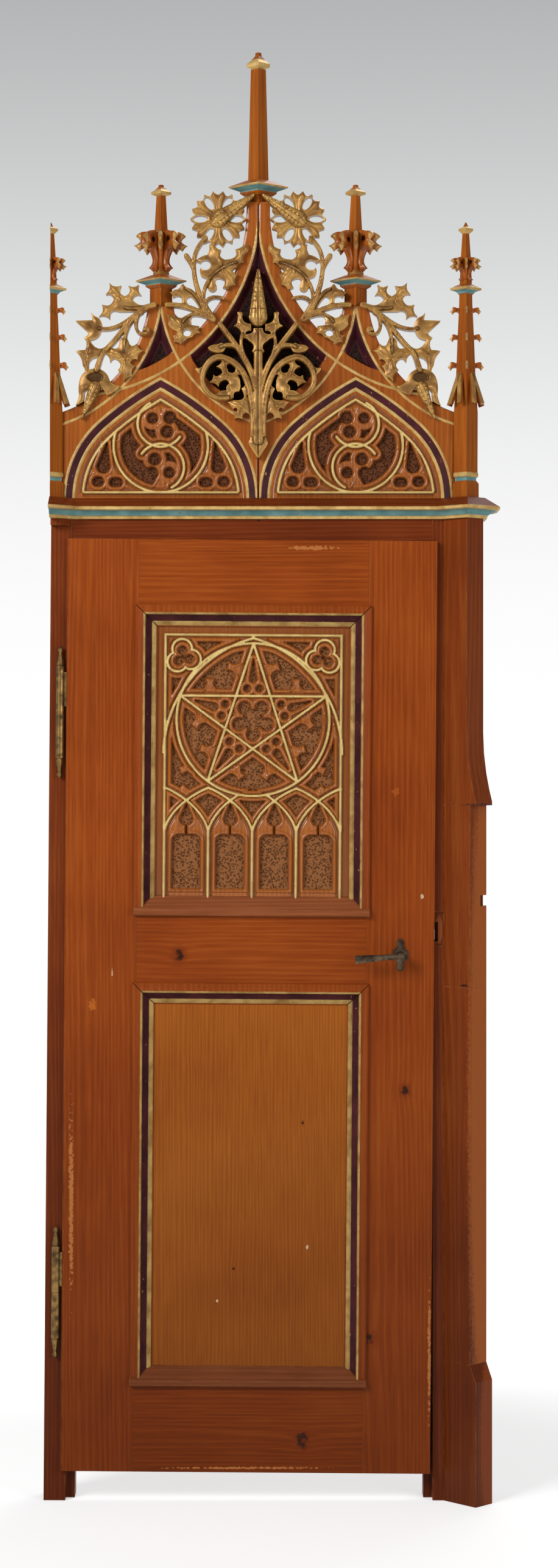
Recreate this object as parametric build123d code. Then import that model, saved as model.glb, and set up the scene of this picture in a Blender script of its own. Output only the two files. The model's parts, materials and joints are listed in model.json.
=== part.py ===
from build123d import *
import math
import os

# A gothic revival room door hung in its own frame: a lipped pine leaf with a carved tracery panel over a
# plain one, jambs and head, and a cresting of two lunettes under crossing ogee gables with leafwork and
# pinnacles. The left side was cut square for a wall, so the pinnacle there is half a pinnacle.
# Lengths are millimetres. x runs to the right, y into the wall and z up. The origin is on the floor, in the
# middle of the overall width, and the jambs' front faces are the plane y = 0.

# One overrun for every cut, and the clearances that the pieces share
overrun = 5.0
seat_gap = 0.5          # lip to jamb, and other parts that rest against each other
joint_gap = 0.2         # glued and wedged joints
running_gap = 0.05      # pin in its bore, on the radius
turning_gap = 0.4       # lever neck in its rose, on the radius
lean = 0.45             # degrees that the left jamb and the leaf hang out of plumb

# Leaf
leaf_width = 757.0
leaf_height = 1911.0
leaf_lift = 64.0        # the frame's feet run down below the leaf
lip_thickness = 14.0    # front of the leaf, which laps over the frame
lip_width = 12.0
body_thickness = 26.0   # back of the leaf, which goes between the jambs
hinge_stile_width = 147.0
lock_stile_width = 139.0
top_rail_height = 140.0
lock_rail_height = 150.0
lock_rail_base = 996.0  # above the leaf's bottom edge
bottom_rail_height = 182.0
tenon_length = 36.0
tenon_thickness = 12.0
tenon_shoulder = 18.0
groove_depth = 12.0
groove_width = 9.0
groove_centre = 12.0    # behind the frame's front face
edge_bead = 3.0

# Panels and their bolection mouldings
panel_thickness = 17.0
panel_sink = 15.0       # leaf face to panel face
panel_play = 2.0        # room for the panel to move in its groove
moulding_width = 44.0
moulding_overlap = 6.0
moulding_rise = 10.0
mitre_gap = 0.6
sill_rise = 13.0
sill_height = 40.0
sill_nose = 13.0
sill_nib = 3.0
moulding_shares = [
    (0, 0), (0, 0.65), (0.09, 0.9), (0.2, 0.75), (0.36, 1), (0.45, 0.8), (0.48, 0.25),
    (0.75, -0.62), (0.83, -0.58), (0.92, -0.72), (1, -0.9), (1, -1),
]

# Carved tracery
tracery_rise = 4.0      # gilt fillets above the panel's face
tracery_sink = 6.0      # stippled ground below it
fillet_width = 6.0
rib_width = 28.0        # a fillet with its two hollow sides
field_margin = 14.0     # panel face outside the outer fillets
ring_share = 0.427      # radius of the star's ring, of the field's width like the shares below
ring_drop_share = 0.481
vault_share = 0.542     # radius of the arch over the ring
spring_drop_share = 0.546
arcade_share = 0.365    # springing of the arcade above the field's foot
arcade_rise_share = 0.24
arcade_bend_shares = [(0.1, 0.42), (0.52, 0.8)]
bays = 4
bay_pocket_share = 0.63
bay_pocket_top_share = 0.325
bay_pocket_foot_share = 0.05
bay_eye_share = 0.425
bay_eye_radius_share = 0.043
star_points = 5
eye_chops = 6           # flats round a small hollow
hoop_chops = 20         # flats round a hoop
curl_chops = 12         # flats round a curl
foil_reach_share = 0.075
foil_radius_share = 0.042
tip_reach_share = 0.205
tip_radius_share = 0.036
corner_share = 0.115    # corner trefoils, from the field's corner
corner_foil_share = 0.058
corner_reach_share = 0.042
corner_turn = 75.0      # degrees
lozenge_share = 0.042
haunch_share = 0.04

# Frame
jamb_face = 35.0        # left jamb beside the leaf
jamb_depth = 70.0
leaf_play = 2.5         # between the leaf's body and the frame
stop_width = 18.0
strip_width = 13.0      # right jamb between the leaf and the post
post_run = 45.0         # post's left face, along x and along y
post_return = 36.0      # post's right face
post_thicken = 6.0      # lower post outside the upper one
flare_height = 140.0
flare_reach = 17.0
flare_lip = 8.0
flare_base = 1428.0
post_joint = 1056.0
plinth_height = 288.0
plinth_splay = 34.0
plinth_thicken = 11.0
housing_base = 1222.0   # cut for a lost rail
housing_height = 22.0
housing_depth = 13.0
head_face = 40.0        # head above the leaf's lip
keep_base = 1138.0      # housing of the lost keep
keep_height = 71.0
keep_depth = 3.0
keep_pocket = 21.0
keep_pocket_width = 11.0
stub_height = 13.0
stub_width = 42.0
stub_depth = 20.0

# Cornice, as shares of its reach and height from the bottom up
cornice_height = 43.0
cornice_reach = 34.0
cornice_shares = [
    (0.22, 0), (0.24, 0.11), (0.33, 0.17), (0.5, 0.35), (0.97, 0.41), (1, 0.54), (0.1, 1),
]

# Cresting. Places in it are shares of crest_half, measured from the middle of its foot.
board_inset = 25.0      # pinnacle axis to the board's edge
board_front = -6.0
board_depth = 42.0
recess_depth = 17.0
seam_gap = 1.0
ogee_splay = 18.0
lunette_band = 19.0     # splayed band round a lunette
lunette_step = 6.0
lunette_spring = 12.5   # how far the springing's centre lies past the middle
lunette_turn = 48.0     # degrees of the round lower part
haunch_chops = 4
lunette_rise_share = 0.605
lunette_width_share = 0.485
shoulder_share = 0.625
valley_share = 0.585
centre_ogee_share = 0.9563
centre_ogee_height_share = 1.484
side_ogee_share = 0.72
side_ogee_height_share = 1.069
ogee_band_share = 0.06
side_neck_share = 0.985
centre_neck_share = 1.52
shaft_half = 23.0
mid_shaft_height = 38.0
centre_shaft_height = 14.0
panel_board = 16.0
lunette_face = 8.0      # lunette panel's face behind the board's face

wheel_rim_gap = 9.0
wheel_foot = 12.0
wheel_height_share = 0.272
wheel_share = 0.242
curl_share = 0.119
curl_open_turns = (-36, 37, 110)    # degrees
wheel_eye_shares = [
    (-0.04, 0.135, 0.028), (0.036, 0.075, 0.034), (0.12, 0.09, 0.066), (0.172, -0.012, 0.045),
]
corner_eye_shares = [(0.298, 0.21, 0.034), (0.325, 0.095, 0.03), (0.23, 0.085, 0.028)]

# Pinnacles, as shares of a half diagonal and a height from the bottom up
abacus_shares = [(0.46, 0), (0.6, 0.16), (0.62, 0.3), (0.97, 0.52), (1, 0.6), (0.4, 1)]
knop_shares = [(0.5, 0), (0.98, 0.14), (1, 0.34), (0.66, 0.52), (0.28, 0.8), (0.24, 1)]
centre_abacus_half = 62.0
centre_abacus_height = 33.0
centre_spire_half = 21.0
centre_spire_top = 15.5
centre_spire_height = 228.0
centre_knop_half = 24.0
centre_knop_height = 35.0
mid_abacus_half = 53.0
mid_abacus_height = 28.0
mid_neck_half = 19.0
mid_crown_height = 92.0
mid_spire_half = 13.5
mid_spire_top = 9.5
mid_spire_height = 71.0
mid_knop_half = 21.0
mid_knop_height = 23.0
crown_reach = 35.0
crown_thickness = 11.0
pinnacle_half = 25.0
pinnacle_height = 564.0
pinnacle_y = -8.0
pinnacle_shares = [
    (1.06, 0), (1.06, 0.051), (0.85, 0.062), (0.85, 0.071), (1.0, 0.076), (1.0, 0.089), (0.96, 0.093),
    (0.98, 0.306), (0.78, 0.457), (0.68, 0.572), (0.54, 0.705), (0.53, 0.736), (0.8, 0.748), (1.28, 0.754),
    (1.28, 0.761), (0.5, 0.776), (0.44, 0.838), (0.42, 0.865), (0.28, 0.958), (0.6, 0.97), (0.6, 0.977),
    (0.2, 0.985), (0.05, 1),
]
crocket_shares = [0.467, 0.572, 0.672]
crocket_reach = 19.0
crocket_thickness = 7.0
pinnacle_crown_share = 0.838
pinnacle_crown_reach = 22.0
gablet_top_share = 0.45
gablet_length = 66.0
gablet_width = 10.0
gablet_thickness = 9.0
gablet_tilt = 14.0      # degrees
crocket_seat_share = 0.5
crown_neck_shares = [(0.9, 0), (0.8, 0.12), (0.62, 0.5), (0.7, 0.8), (0.7, 1)]
crown_level_share = 0.72
crown_foot_share = 0.2
crown_seat_share = 0.6
crown_small_share = 0.62
crocket_outline_shares = [(0, -0.75), (0.4, 0), (0.78, -0.12), (1, 0.2), (0.85, 0.6), (0, 0.5)]

# Leafwork. Stems are (start, bend, bend, end, width at start, width at end), leaves are (x, z, direction in
# degrees, radius, lobes), all lengths as shares of crest_half from the middle of the cresting's foot.
leaf_front = 4.0        # leafwork proud of the board
leaf_board = 17.0
ribbon_steps = 3
leaf_spread = 290.0     # degrees about a leaf's middle
lobe_shares = [(-0.5, 0.5), (-0.27, 0.98), (0.27, 1)]
petal_shares = [(-0.5, 0.78), (-0.24, 1), (0.24, 1)]
pierce_reach_share = 0.66
pierce_share = 0.13
pierce_chops = 4
inner_stem_shares = [
    ((-0.235, 0.9), (-0.30, 1.05), (-0.35, 1.26), (-0.245, 1.37), 0.035, 0.022),
    ((-0.235, 0.915), (-0.29, 0.965), (-0.35, 0.985), (-0.475, 0.982), 0.035, 0.03),
    ((-0.27, 0.96), (-0.27, 1.06), (-0.26, 1.1), (-0.19, 1.17), 0.022, 0.03),
    ((-0.275, 0.965), (-0.26, 1.04), (-0.23, 1.05), (-0.175, 1.015), 0.022, 0.018),
    ((-0.31, 1.09), (-0.335, 1.13), (-0.345, 1.17), (-0.362, 1.225), 0.03, 0.025),
    ((-0.28, 0.935), (-0.32, 0.93), (-0.34, 0.9), (-0.385, 0.86), 0.026, 0.03),
    ((-0.285, 0.99), (-0.32, 1.02), (-0.34, 1.03), (-0.375, 1.045), 0.03, 0.03),
]
inner_leaf_shares = [
    (-0.175, 1.19, 40, 0.125, 6),
    (-0.362, 1.232, 125, 0.055, 3),
    (-0.375, 1.045, 165, 0.07, 4),
    (-0.385, 0.85, 215, 0.1, 5),
]
rosette_share = (-0.208, 1.452)
rosette_radius_share = 0.134
rosette_petals = 8
inner_cob_shares = ((-0.225, 1.41), (-0.03, 1.545))
cob_half_share = 0.034
cob_outline_shares = [(0.35, 0), (0.85, 0.12), (1, 0.3), (0.8, 0.58), (0.45, 0.85), (0.1, 1)]
cob_sides = 6
outer_stem_shares = [
    ((-0.525, 0.988), (-0.6, 0.98), (-0.65, 0.955), (-0.7, 0.975), 0.035, 0.03),
    ((-0.56, 0.975), (-0.68, 0.87), (-0.73, 0.855), (-0.83, 0.86), 0.03, 0.022),
    ((-0.585, 0.95), (-0.72, 0.84), (-0.8, 0.72), (-0.835, 0.63), 0.035, 0.022),
    ((-0.6, 0.945), (-0.585, 0.86), (-0.6, 0.82), (-0.545, 0.86), 0.024, 0.02),
    ((-0.63, 0.915), (-0.67, 0.86), (-0.69, 0.82), (-0.69, 0.76), 0.026, 0.035),
    ((-0.8, 0.74), (-0.84, 0.74), (-0.86, 0.75), (-0.88, 0.76), 0.025, 0.03),
]
outer_leaf_shares = [
    (-0.715, 1.025, 105, 0.12, 5),
    (-0.815, 0.945, 185, 0.062, 3),
    (-0.875, 0.73, 190, 0.085, 4),
    (-0.69, 0.735, 280, 0.125, 6),
]
bud_shares = [
    (-0.81, 0.88), (-0.825, 0.93), (-0.85, 0.97), (-0.855, 0.915), (-0.93, 0.91), (-0.87, 0.845),
    (-0.885, 0.795), (-0.84, 0.81), (-0.81, 0.845),
]
hood_shares = [
    (-0.83, 0.645), (-0.89, 0.635), (-0.92, 0.57), (-0.905, 0.51), (-0.93, 0.48), (-0.9, 0.485),
    (-0.88, 0.55), (-0.84, 0.565), (-0.8, 0.525), (-0.74, 0.56), (-0.77, 0.62),
]
outer_cob_shares = ((-0.832, 0.625), (-0.9, 0.385))
centre_stem_shares = [
    ((0, 0.2), (-0.01, 0.4), (0, 0.6), (0, 0.8), 0.085, 0.045),
    ((-0.02, 0.36), (-0.03, 0.66), (-0.11, 0.74), (-0.2, 0.72), 0.06, 0.03),
    ((-0.02, 0.5), (-0.04, 0.68), (-0.09, 0.78), (-0.19, 0.885), 0.05, 0.03),
    ((-0.105, 0.755), (-0.13, 0.78), (-0.17, 0.785), (-0.22, 0.76), 0.03, 0.028),
    ((-0.02, 0.4), (-0.05, 0.5), (-0.06, 0.52), (-0.12, 0.47), 0.045, 0.03),
]
centre_leaf_shares = [
    (-0.105, 0.895, 150, 0.085, 4),
    (-0.225, 0.77, 160, 0.06, 3),
    (-0.15, 0.62, 150, 0.08, 5),
    (-0.105, 0.455, 215, 0.1, 5),
    (0, 0.825, 270, 0.12, 6),
]
scroll_share = (-0.205, 0.612)
scroll_radius_share = 0.108
scroll_band_share = 0.028
heart_shares = [(0, 0.16), (-0.045, 0.22), (-0.055, 0.27), (-0.035, 0.3), (0, 0.31), (0.02, 0.22)]
centre_cob_shares = ((0, 0.87), (0, 1.15))
centre_cob_half_share = 0.052
foliage_front = -10.0

# Hinges
hinge_stand = 9.5       # axis in front of the jamb
hinge_offset = 13.0     # axis beside the leaf's lip
hinge_radius = 8.5
barrel_length = 94.0
barrel_gap = 0.4
finial_length = 40.0
finial_shares = [(0.72, 0), (0.92, 0.12), (0.42, 0.7), (0.66, 0.79), (0.66, 0.9), (0.3, 1)]
finial_sides = 6
hinge_pin_radius = 4.5
hinge_pin_reach = 60.0
plate_thickness = 3.0
plate_length = 52.0
plate_height = 70.0
plate_start = 12.0
upper_hinge_drop = 356.0    # joint of the two barrels, below the leaf's top edge
lower_hinge_base = 366.0    # and above its bottom edge

# Lever, roses and lock
lever_backset = 69.0    # from the leaf's lock edge
lever_height = 1063.0   # above the leaf's bottom edge
lever_droop = 5.0       # degrees at rest
neck_radius = 7.0
neck_length = 47.0
grip_length = 94.0
grip_width = 17.0
grip_root = 12.0
grip_thickness = 10.0
grip_waist_share = 0.4
grip_section_shares = [
    (1, 0.45), (0.55, 1), (-0.55, 1), (-1, 0.45), (-1, -0.45), (-0.55, -1), (0.55, -1), (1, -0.45),
]
spindle_side = 8.0
rose_radius = 17.0
rose_thickness = 3.0
rose_sides = 12
rose_collar = 3.0
rose_collar_radius = 12.5
rose_ear_radius = 7.0
rose_ear_reach = 27.0
screw_radius = 1.8
screw_head = 3.6
screw_length = 7.5
screw_head_height = 1.4
case_width = 86.0
case_height = 112.0
case_thickness = 16.0
case_wall = 2.0
case_above = 72.0       # above the lever's axis
forend_thickness = 3.0
forend_width = 20.0
forend_height = 140.0
follower_radius = 13.0
follower_thickness = 8.0
latch_rise = 41.0       # latch above the lever's axis
latch_height = 20.0
latch_thickness = 11.0
latch_throw = 14.0
latch_tail = 40.0
latch_play = 0.5

# Places worked out from the sizes above
root_two = math.sqrt(2)
overall_width = jamb_face + leaf_width + strip_width + post_run + post_return + cornice_reach
left_edge = -overall_width / 2
leaf_left = left_edge + jamb_face
leaf_right = leaf_left + leaf_width
leaf_bottom = leaf_lift
leaf_top = leaf_lift + leaf_height
lip_back = -seat_gap
lip_front = lip_back - lip_thickness
body_back = lip_back + body_thickness
stop_front = body_back + seat_gap
post_left = leaf_right + strip_width
arris_x = post_left + post_run
post_right = arris_x + post_return
jamb_left_inner = leaf_left + lip_width - leaf_play
jamb_right_inner = leaf_right - lip_width + leaf_play
head_bottom = leaf_top - lip_width + leaf_play
frame_top = leaf_top + head_face
crest_base = frame_top + cornice_height
crest_x = (left_edge + arris_x) / 2
crest_half = (arris_x - left_edge) / 2 - board_inset
board_back = board_front + board_depth
stack_y = (board_front + board_back) / 2
opening_left = leaf_left + hinge_stile_width
opening_right = leaf_right - lock_stile_width
lock_rail_bottom = leaf_bottom + lock_rail_base
lock_rail_top = lock_rail_bottom + lock_rail_height
upper_opening = (lock_rail_top, leaf_top - top_rail_height)
lower_opening = (leaf_bottom + bottom_rail_height, lock_rail_bottom)
panel_front = lip_front + panel_sink
lever_x = leaf_right - lever_backset
lever_z = leaf_bottom + lever_height
body_edge = leaf_right - lip_width
hinge_x = leaf_left - hinge_offset
upper_hinge_base = leaf_height - upper_hinge_drop
hang = Pos(left_edge, 0, frame_top) * Rotation(0, lean, 0) * Pos(-left_edge, 0, -frame_top)


# Shared operations

def box(x0, x1, y0, y1, z0, z1):
    """A block between pairs of planes."""
    return Pos((x0 + x1) / 2, (y0 + y1) / 2, (z0 + z1) / 2) * Box(x1 - x0, y1 - y0, z1 - z0)


def slab(drawing, front, back):
    """A drawing of the front, x across and z up, as a board between two depths."""
    return extrude(Plane.XZ.offset(-back) * drawing, amount=back - front)


def outline(points):
    """A closed drawing through its corners."""
    return make_face(Polyline(*points, close=True))


def across(points, x0, x1):
    """A section in y and z run along x."""
    face = Plane.YZ.offset(x0) * outline(points)
    return extrude(face, amount=x1 - x0)


def upright(points, z0, z1):
    """A section in x and y run up z."""
    return extrude(Pos(0, 0, z0) * outline(points), amount=z1 - z0)


def flip(shape):
    """The same piece on the other side of the cresting's middle."""
    return mirror(shape, about=Plane.YZ.offset(crest_x))


def crest_point(share):
    """A place in the cresting from its shares."""
    return (crest_x + share[0] * crest_half, crest_base + share[1] * crest_half)


def ring(radius, sides, z):
    """The corners of a level polygon about the z axis, the first of them on x."""
    turns = [math.tau * corner / sides for corner in range(sides)]
    return [(radius * math.cos(turn), radius * math.sin(turn), z) for turn in turns]


def faceted(rings):
    """A solid of flat faces through polygons that have the same number of corners."""
    faces = [Face(Wire.make_polygon(rings[0])), Face(Wire.make_polygon(rings[-1]))]
    for low, high in zip(rings, rings[1:]):
        for corner in range(len(low)):
            side = [low[corner - 1], low[corner], high[corner], high[corner - 1]]
            faces.append(Face(Wire.make_polygon(side)))
    return Solid(Shell(faces))


def diamond_stack(shares, half, height):
    """Squares set corner forward, stacked up z and joined by flat faces."""
    return faceted([ring(h * half, 4, z * height) for h, z in shares])


# Frame

def left_jamb():
    """The narrow hinge jamb, rebated for the leaf and slotted for the hinge plates."""
    stop_edge = jamb_left_inner + stop_width
    section = [
        (left_edge, 0), (jamb_left_inner, 0), (jamb_left_inner, stop_front), (stop_edge, stop_front),
        (stop_edge, jamb_depth), (left_edge, jamb_depth),
    ]
    jamb = upright(section, seat_gap, frame_top)
    for base in (upper_hinge_base, lower_hinge_base):
        jamb -= plate_block(base, False, joint_gap)
    return jamb


def right_jamb():
    """The lock jamb: a rebated board that carries the post, with the housing of the lost keep."""
    stop_edge = jamb_right_inner - stop_width
    section = [
        (stop_edge, stop_front), (jamb_right_inner, stop_front), (jamb_right_inner, 0), (post_right, 0),
        (post_right, jamb_depth), (stop_edge, jamb_depth),
    ]
    jamb = upright(section, 0, frame_top)
    keep_top = keep_base + keep_height
    jamb -= box(jamb_right_inner - overrun, post_left, -overrun, keep_depth, keep_base, keep_top)
    latch_z = lever_z + latch_rise
    pocket_half = latch_height
    jamb -= box(
        jamb_right_inner - overrun, jamb_right_inner + keep_pocket_width, -overrun, keep_pocket,
        latch_z - pocket_half, latch_z + pocket_half,
    )
    return jamb


def frame_head():
    """The head between the jambs, rebated over the leaf's body."""
    stop_bottom = head_bottom - stop_width
    section = [
        (0, head_bottom), (stop_front, head_bottom), (stop_front, stop_bottom), (jamb_depth, stop_bottom),
        (jamb_depth, frame_top), (0, frame_top),
    ]
    left_end = jamb_left_inner + stop_width + seat_gap
    right_end = jamb_right_inner - stop_width
    rail = across(section, left_end, right_end)
    face_back = stop_front - seat_gap
    face = [(0, head_bottom), (face_back, head_bottom), (face_back, frame_top), (0, frame_top)]
    return rail + across(face, jamb_left_inner + seat_gap, jamb_right_inner)


def post_section(grow, reach):
    """Plan of the post, set corner forward, grown by a thickness and flared out past it."""
    out = grow + reach
    return [
        (post_left, 0), (arris_x + out, -post_run - out), (post_right + out, -post_run - out + post_return),
        (post_right + out, 0),
    ]


def right_post_upper():
    """Upper post, which flares out over the lower one."""
    flare_steps_shares = [0, 0.15, 0.4, 0.7, 1]
    foot = flare_base + flare_lip
    sections = [Pos(0, 0, flare_base) * outline(post_section(0, flare_reach))]
    for share in flare_steps_shares:
        reach = flare_reach * (1 - share) ** 2
        sections.append(Pos(0, 0, foot + flare_height * share) * outline(post_section(0, reach)))
    flare = loft(sections, ruled=True)
    return flare + upright(post_section(0, 0), foot + flare_height, frame_top)


def right_post_middle():
    """Lower post down to its joint, with the housing of a lost rail in its outer face."""
    post = upright(post_section(post_thicken, 0), post_joint, flare_base)
    side = post_right + post_thicken
    return post - box(
        side - housing_depth, side + overrun, -post_run - post_thicken, overrun,
        housing_base, housing_base + housing_height,
    )


def right_post_lower():
    """Lower post between its joint and the plinth."""
    return upright(post_section(post_thicken, 0), plinth_height, post_joint)


def right_plinth():
    """Plinth block with a splayed top."""
    wide = outline(post_section(post_thicken + plinth_thicken, 0))
    narrow = outline(post_section(post_thicken, 0))
    shoulder_z = plinth_height - plinth_splay
    splay = loft([Pos(0, 0, shoulder_z) * wide, Pos(0, 0, plinth_height) * narrow], ruled=True)
    return splay + upright(post_section(post_thicken + plinth_thicken, 0), 0, shoulder_z)


def left_post_stub():
    """What is left of the post that stood on the left jamb: a block under the cornice."""
    section = [(left_edge, 0), (left_edge, -stub_depth), (left_edge + stub_width - stub_depth, -stub_depth),
               (left_edge + stub_width, 0)]
    return upright(section, frame_top - stub_height, frame_top)


def cornice():
    """One moulding round the head, broken forward over both posts."""
    inner_left = left_edge + post_run
    sections = []
    for reach_share, height_share in cornice_shares:
        out = cornice_reach * reach_share
        shift = out * (root_two - 1)
        plan = [
            (left_edge, jamb_depth), (left_edge, -post_run - root_two * out), (inner_left + shift, -out),
            (post_left - shift, -out), (arris_x, -post_run - root_two * out),
            (post_right + out, -post_run + post_return - shift), (post_right + out, jamb_depth),
        ]
        sections.append(Pos(0, 0, frame_top + cornice_height * height_share) * outline(plan))
    return loft(sections, ruled=True)


# Cresting

def arc_points(centre, radius, first, last, chops):
    """Places along an arc, without its last one."""
    turns = [first + (last - first) * i / chops for i in range(chops)]
    return [(centre[0] + radius * math.cos(turn), centre[1] + radius * math.sin(turn)) for turn in turns]


def lunette_face_drawing(inset):
    """A lunette's outline inside its springing line: two round haunches under two flat arcs to a point."""
    half = lunette_width_share * crest_half
    rise = lunette_rise_share * crest_half
    low = half + lunette_spring
    turn = math.pi - math.radians(lunette_turn)
    along = (math.cos(turn), math.sin(turn))
    reach = rise * along[1] - lunette_spring * along[0]
    stretch = (lunette_spring ** 2 + rise ** 2 - low ** 2) / (2 * (low - reach))
    high = low + stretch - inset
    high_centre = (lunette_spring - stretch * along[0], -stretch * along[1])
    last = math.pi - math.acos(high_centre[0] / high)
    left = arc_points((lunette_spring, 0), low - inset, math.pi, turn, haunch_chops)
    left += arc_points(high_centre, high, turn, last, haunch_chops)
    apex = (0, high_centre[1] + high * math.sin(last))
    return outline(left + [apex] + [(-x, z) for x, z in reversed(left)])


def lunette_x():
    """The middle of the left lunette."""
    return crest_x - crest_half / 2


def ogee_circle(axis_share, radius_share, height_share, grow, side):
    """The circle whose edge is one arm of a gable, to the left or the right of the gable's axis."""
    radius = radius_share * crest_half
    x = crest_x + axis_share * crest_half + side * radius
    return Pos(x, crest_base + height_share * crest_half) * Circle(radius + grow)


def gable(axis_share, radius_share, height_share, grow, top_share, wide_share):
    """A gable between its two arms, from the cresting's foot to a level top."""
    x, top = crest_point((axis_share, top_share))
    half = wide_share * crest_half
    block = outline([(x - half, crest_base), (x + half, crest_base), (x + half, top), (x - half, top)])
    for side in (-1, 1):
        block -= ogee_circle(axis_share, radius_share, height_share, grow, side)
    return block


def shoulder(radius_share):
    """The round outside of a lunette."""
    x, z = lunette_x(), crest_base
    radius = radius_share * crest_half
    disc = Pos(x, z) * Circle(radius)
    left, right, top = x - radius, x + radius, z + radius
    return disc & outline([(left, z), (right, z), (right, top), (left, top)])


def side_gable(grow, top_share):
    """The gable over the left lunette."""
    return gable(-0.5, side_ogee_share, side_ogee_height_share, grow, top_share, valley_share)


def centre_gable(grow, top_share):
    """The gable in the middle."""
    return gable(0, centre_ogee_share, centre_ogee_height_share, grow, top_share, valley_share)


def board_drawing():
    """Outline of the left half of the cresting."""
    band = -ogee_band_share * crest_half
    left, foot = crest_x - crest_half, crest_base
    right, top = crest_x - seam_gap / 2, crest_point((0, centre_neck_share))[1]
    drawing = shoulder(shoulder_share)
    drawing += side_gable(band, side_neck_share)
    drawing += centre_gable(band, centre_neck_share)
    return drawing & outline([(left, foot), (right, foot), (right, top), (left, top)])


def cresting_board():
    """The left half of the cresting: lunette, side gable and half the middle gable, with sunk grounds."""
    band = -ogee_band_share * crest_half
    seam = crest_x - seam_gap / 2
    edge = crest_x - crest_half
    top = crest_point((0, centre_neck_share))[1]
    board = slab(board_drawing(), board_front, board_back)
    floor = board_front + recess_depth
    valley = shoulder(valley_share)
    side_ground = side_gable(ogee_splay, side_neck_share) - valley
    side_ground -= ogee_circle(0, centre_ogee_share, centre_ogee_height_share, 0, -1)
    side_ground = side_ground - centre_gable(band, centre_neck_share)
    middle_ground = centre_gable(ogee_splay, centre_neck_share) - valley
    middle_ground -= outline([(edge, crest_base), (crest_x - crest_half / 2, crest_base),
                              (crest_x - crest_half / 2, top), (edge, top)])
    middle_ground -= side_gable(band, side_neck_share)
    for ground in (side_ground, middle_ground):
        board -= slab(ground, board_front - overrun, floor)
    middle = Pos(lunette_x(), crest_base)
    splay_back = board_front + lunette_face
    splay = loft(
        [
            Plane.XZ.offset(-board_front) * (middle * lunette_face_drawing(0)),
            Plane.XZ.offset(-splay_back) * (middle * lunette_face_drawing(lunette_band)),
        ],
        ruled=True,
    )
    hole = middle * lunette_face_drawing(lunette_band + lunette_step)
    through = slab(hole, board_front, board_back + overrun)
    step = slab(middle * lunette_face_drawing(lunette_band), splay_back - seat_gap, splay_back)
    board = board - splay - step - through
    shafts = [(-0.5, side_neck_share, mid_shaft_height), (0, centre_neck_share, centre_shaft_height)]
    for axis_share, level_share, height in shafts:
        x, z = crest_point((axis_share, level_share))
        board += Pos(x, stack_y, z) * diamond_stack([(1, 0), (1, 1)], shaft_half, height)
    return board & box(edge, seam, board_front - overrun - shaft_half, board_back + shaft_half,
                       crest_base, top + centre_shaft_height)


# Carved panels

def bar(start, end, width):
    """A straight fillet between two places."""
    dx, dz = end[0] - start[0], end[1] - start[1]
    length = math.hypot(dx, dz)
    middle = Pos((start[0] + end[0]) / 2, (start[1] + end[1]) / 2)
    return middle * Rotation(0, 0, math.degrees(math.atan2(dz, dx))) * Rectangle(length, width)


def ribbon(start, bend, other_bend, end, wide, narrow):
    """A curved strip that tapers from one end to the other."""
    left, right = [], []
    for step in range(ribbon_steps + 1):
        t = step / ribbon_steps
        u = 1 - t
        weights = (u ** 3, 3 * u * u * t, 3 * u * t * t, t ** 3)
        slopes = (-u * u, u * u - 2 * u * t, 2 * u * t - t * t, t * t)
        places = (start, bend, other_bend, end)
        x = sum(w * p[0] for w, p in zip(weights, places))
        z = sum(w * p[1] for w, p in zip(weights, places))
        dx = sum(w * p[0] for w, p in zip(slopes, places))
        dz = sum(w * p[1] for w, p in zip(slopes, places))
        half = (wide + (narrow - wide) * t) / (2 * math.hypot(dx, dz))
        left.append((x - dz * half, z + dx * half))
        right.append((x + dz * half, z - dx * half))
    return outline(left + right[::-1])


def polar(turn, reach):
    """A place at a bearing in degrees, from the x axis."""
    return (reach * math.cos(math.radians(turn)), reach * math.sin(math.radians(turn)))


def eye(radius):
    """A round hollow, cut in short chops."""
    return RegularPolygon(radius, eye_chops)


def foils(count, first_turn, reach, radius):
    """Round lobes spaced evenly about a middle."""
    turns = [first_turn + 360 * i / count for i in range(count)]
    return Sketch() + [Rotation(0, 0, turn) * Pos(reach, 0) * eye(radius) for turn in turns]


def hoop(radius, width, chops):
    """A round fillet, cut in short chops."""
    return RegularPolygon(radius + width / 2, chops) - RegularPolygon(radius - width / 2, chops)


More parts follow.
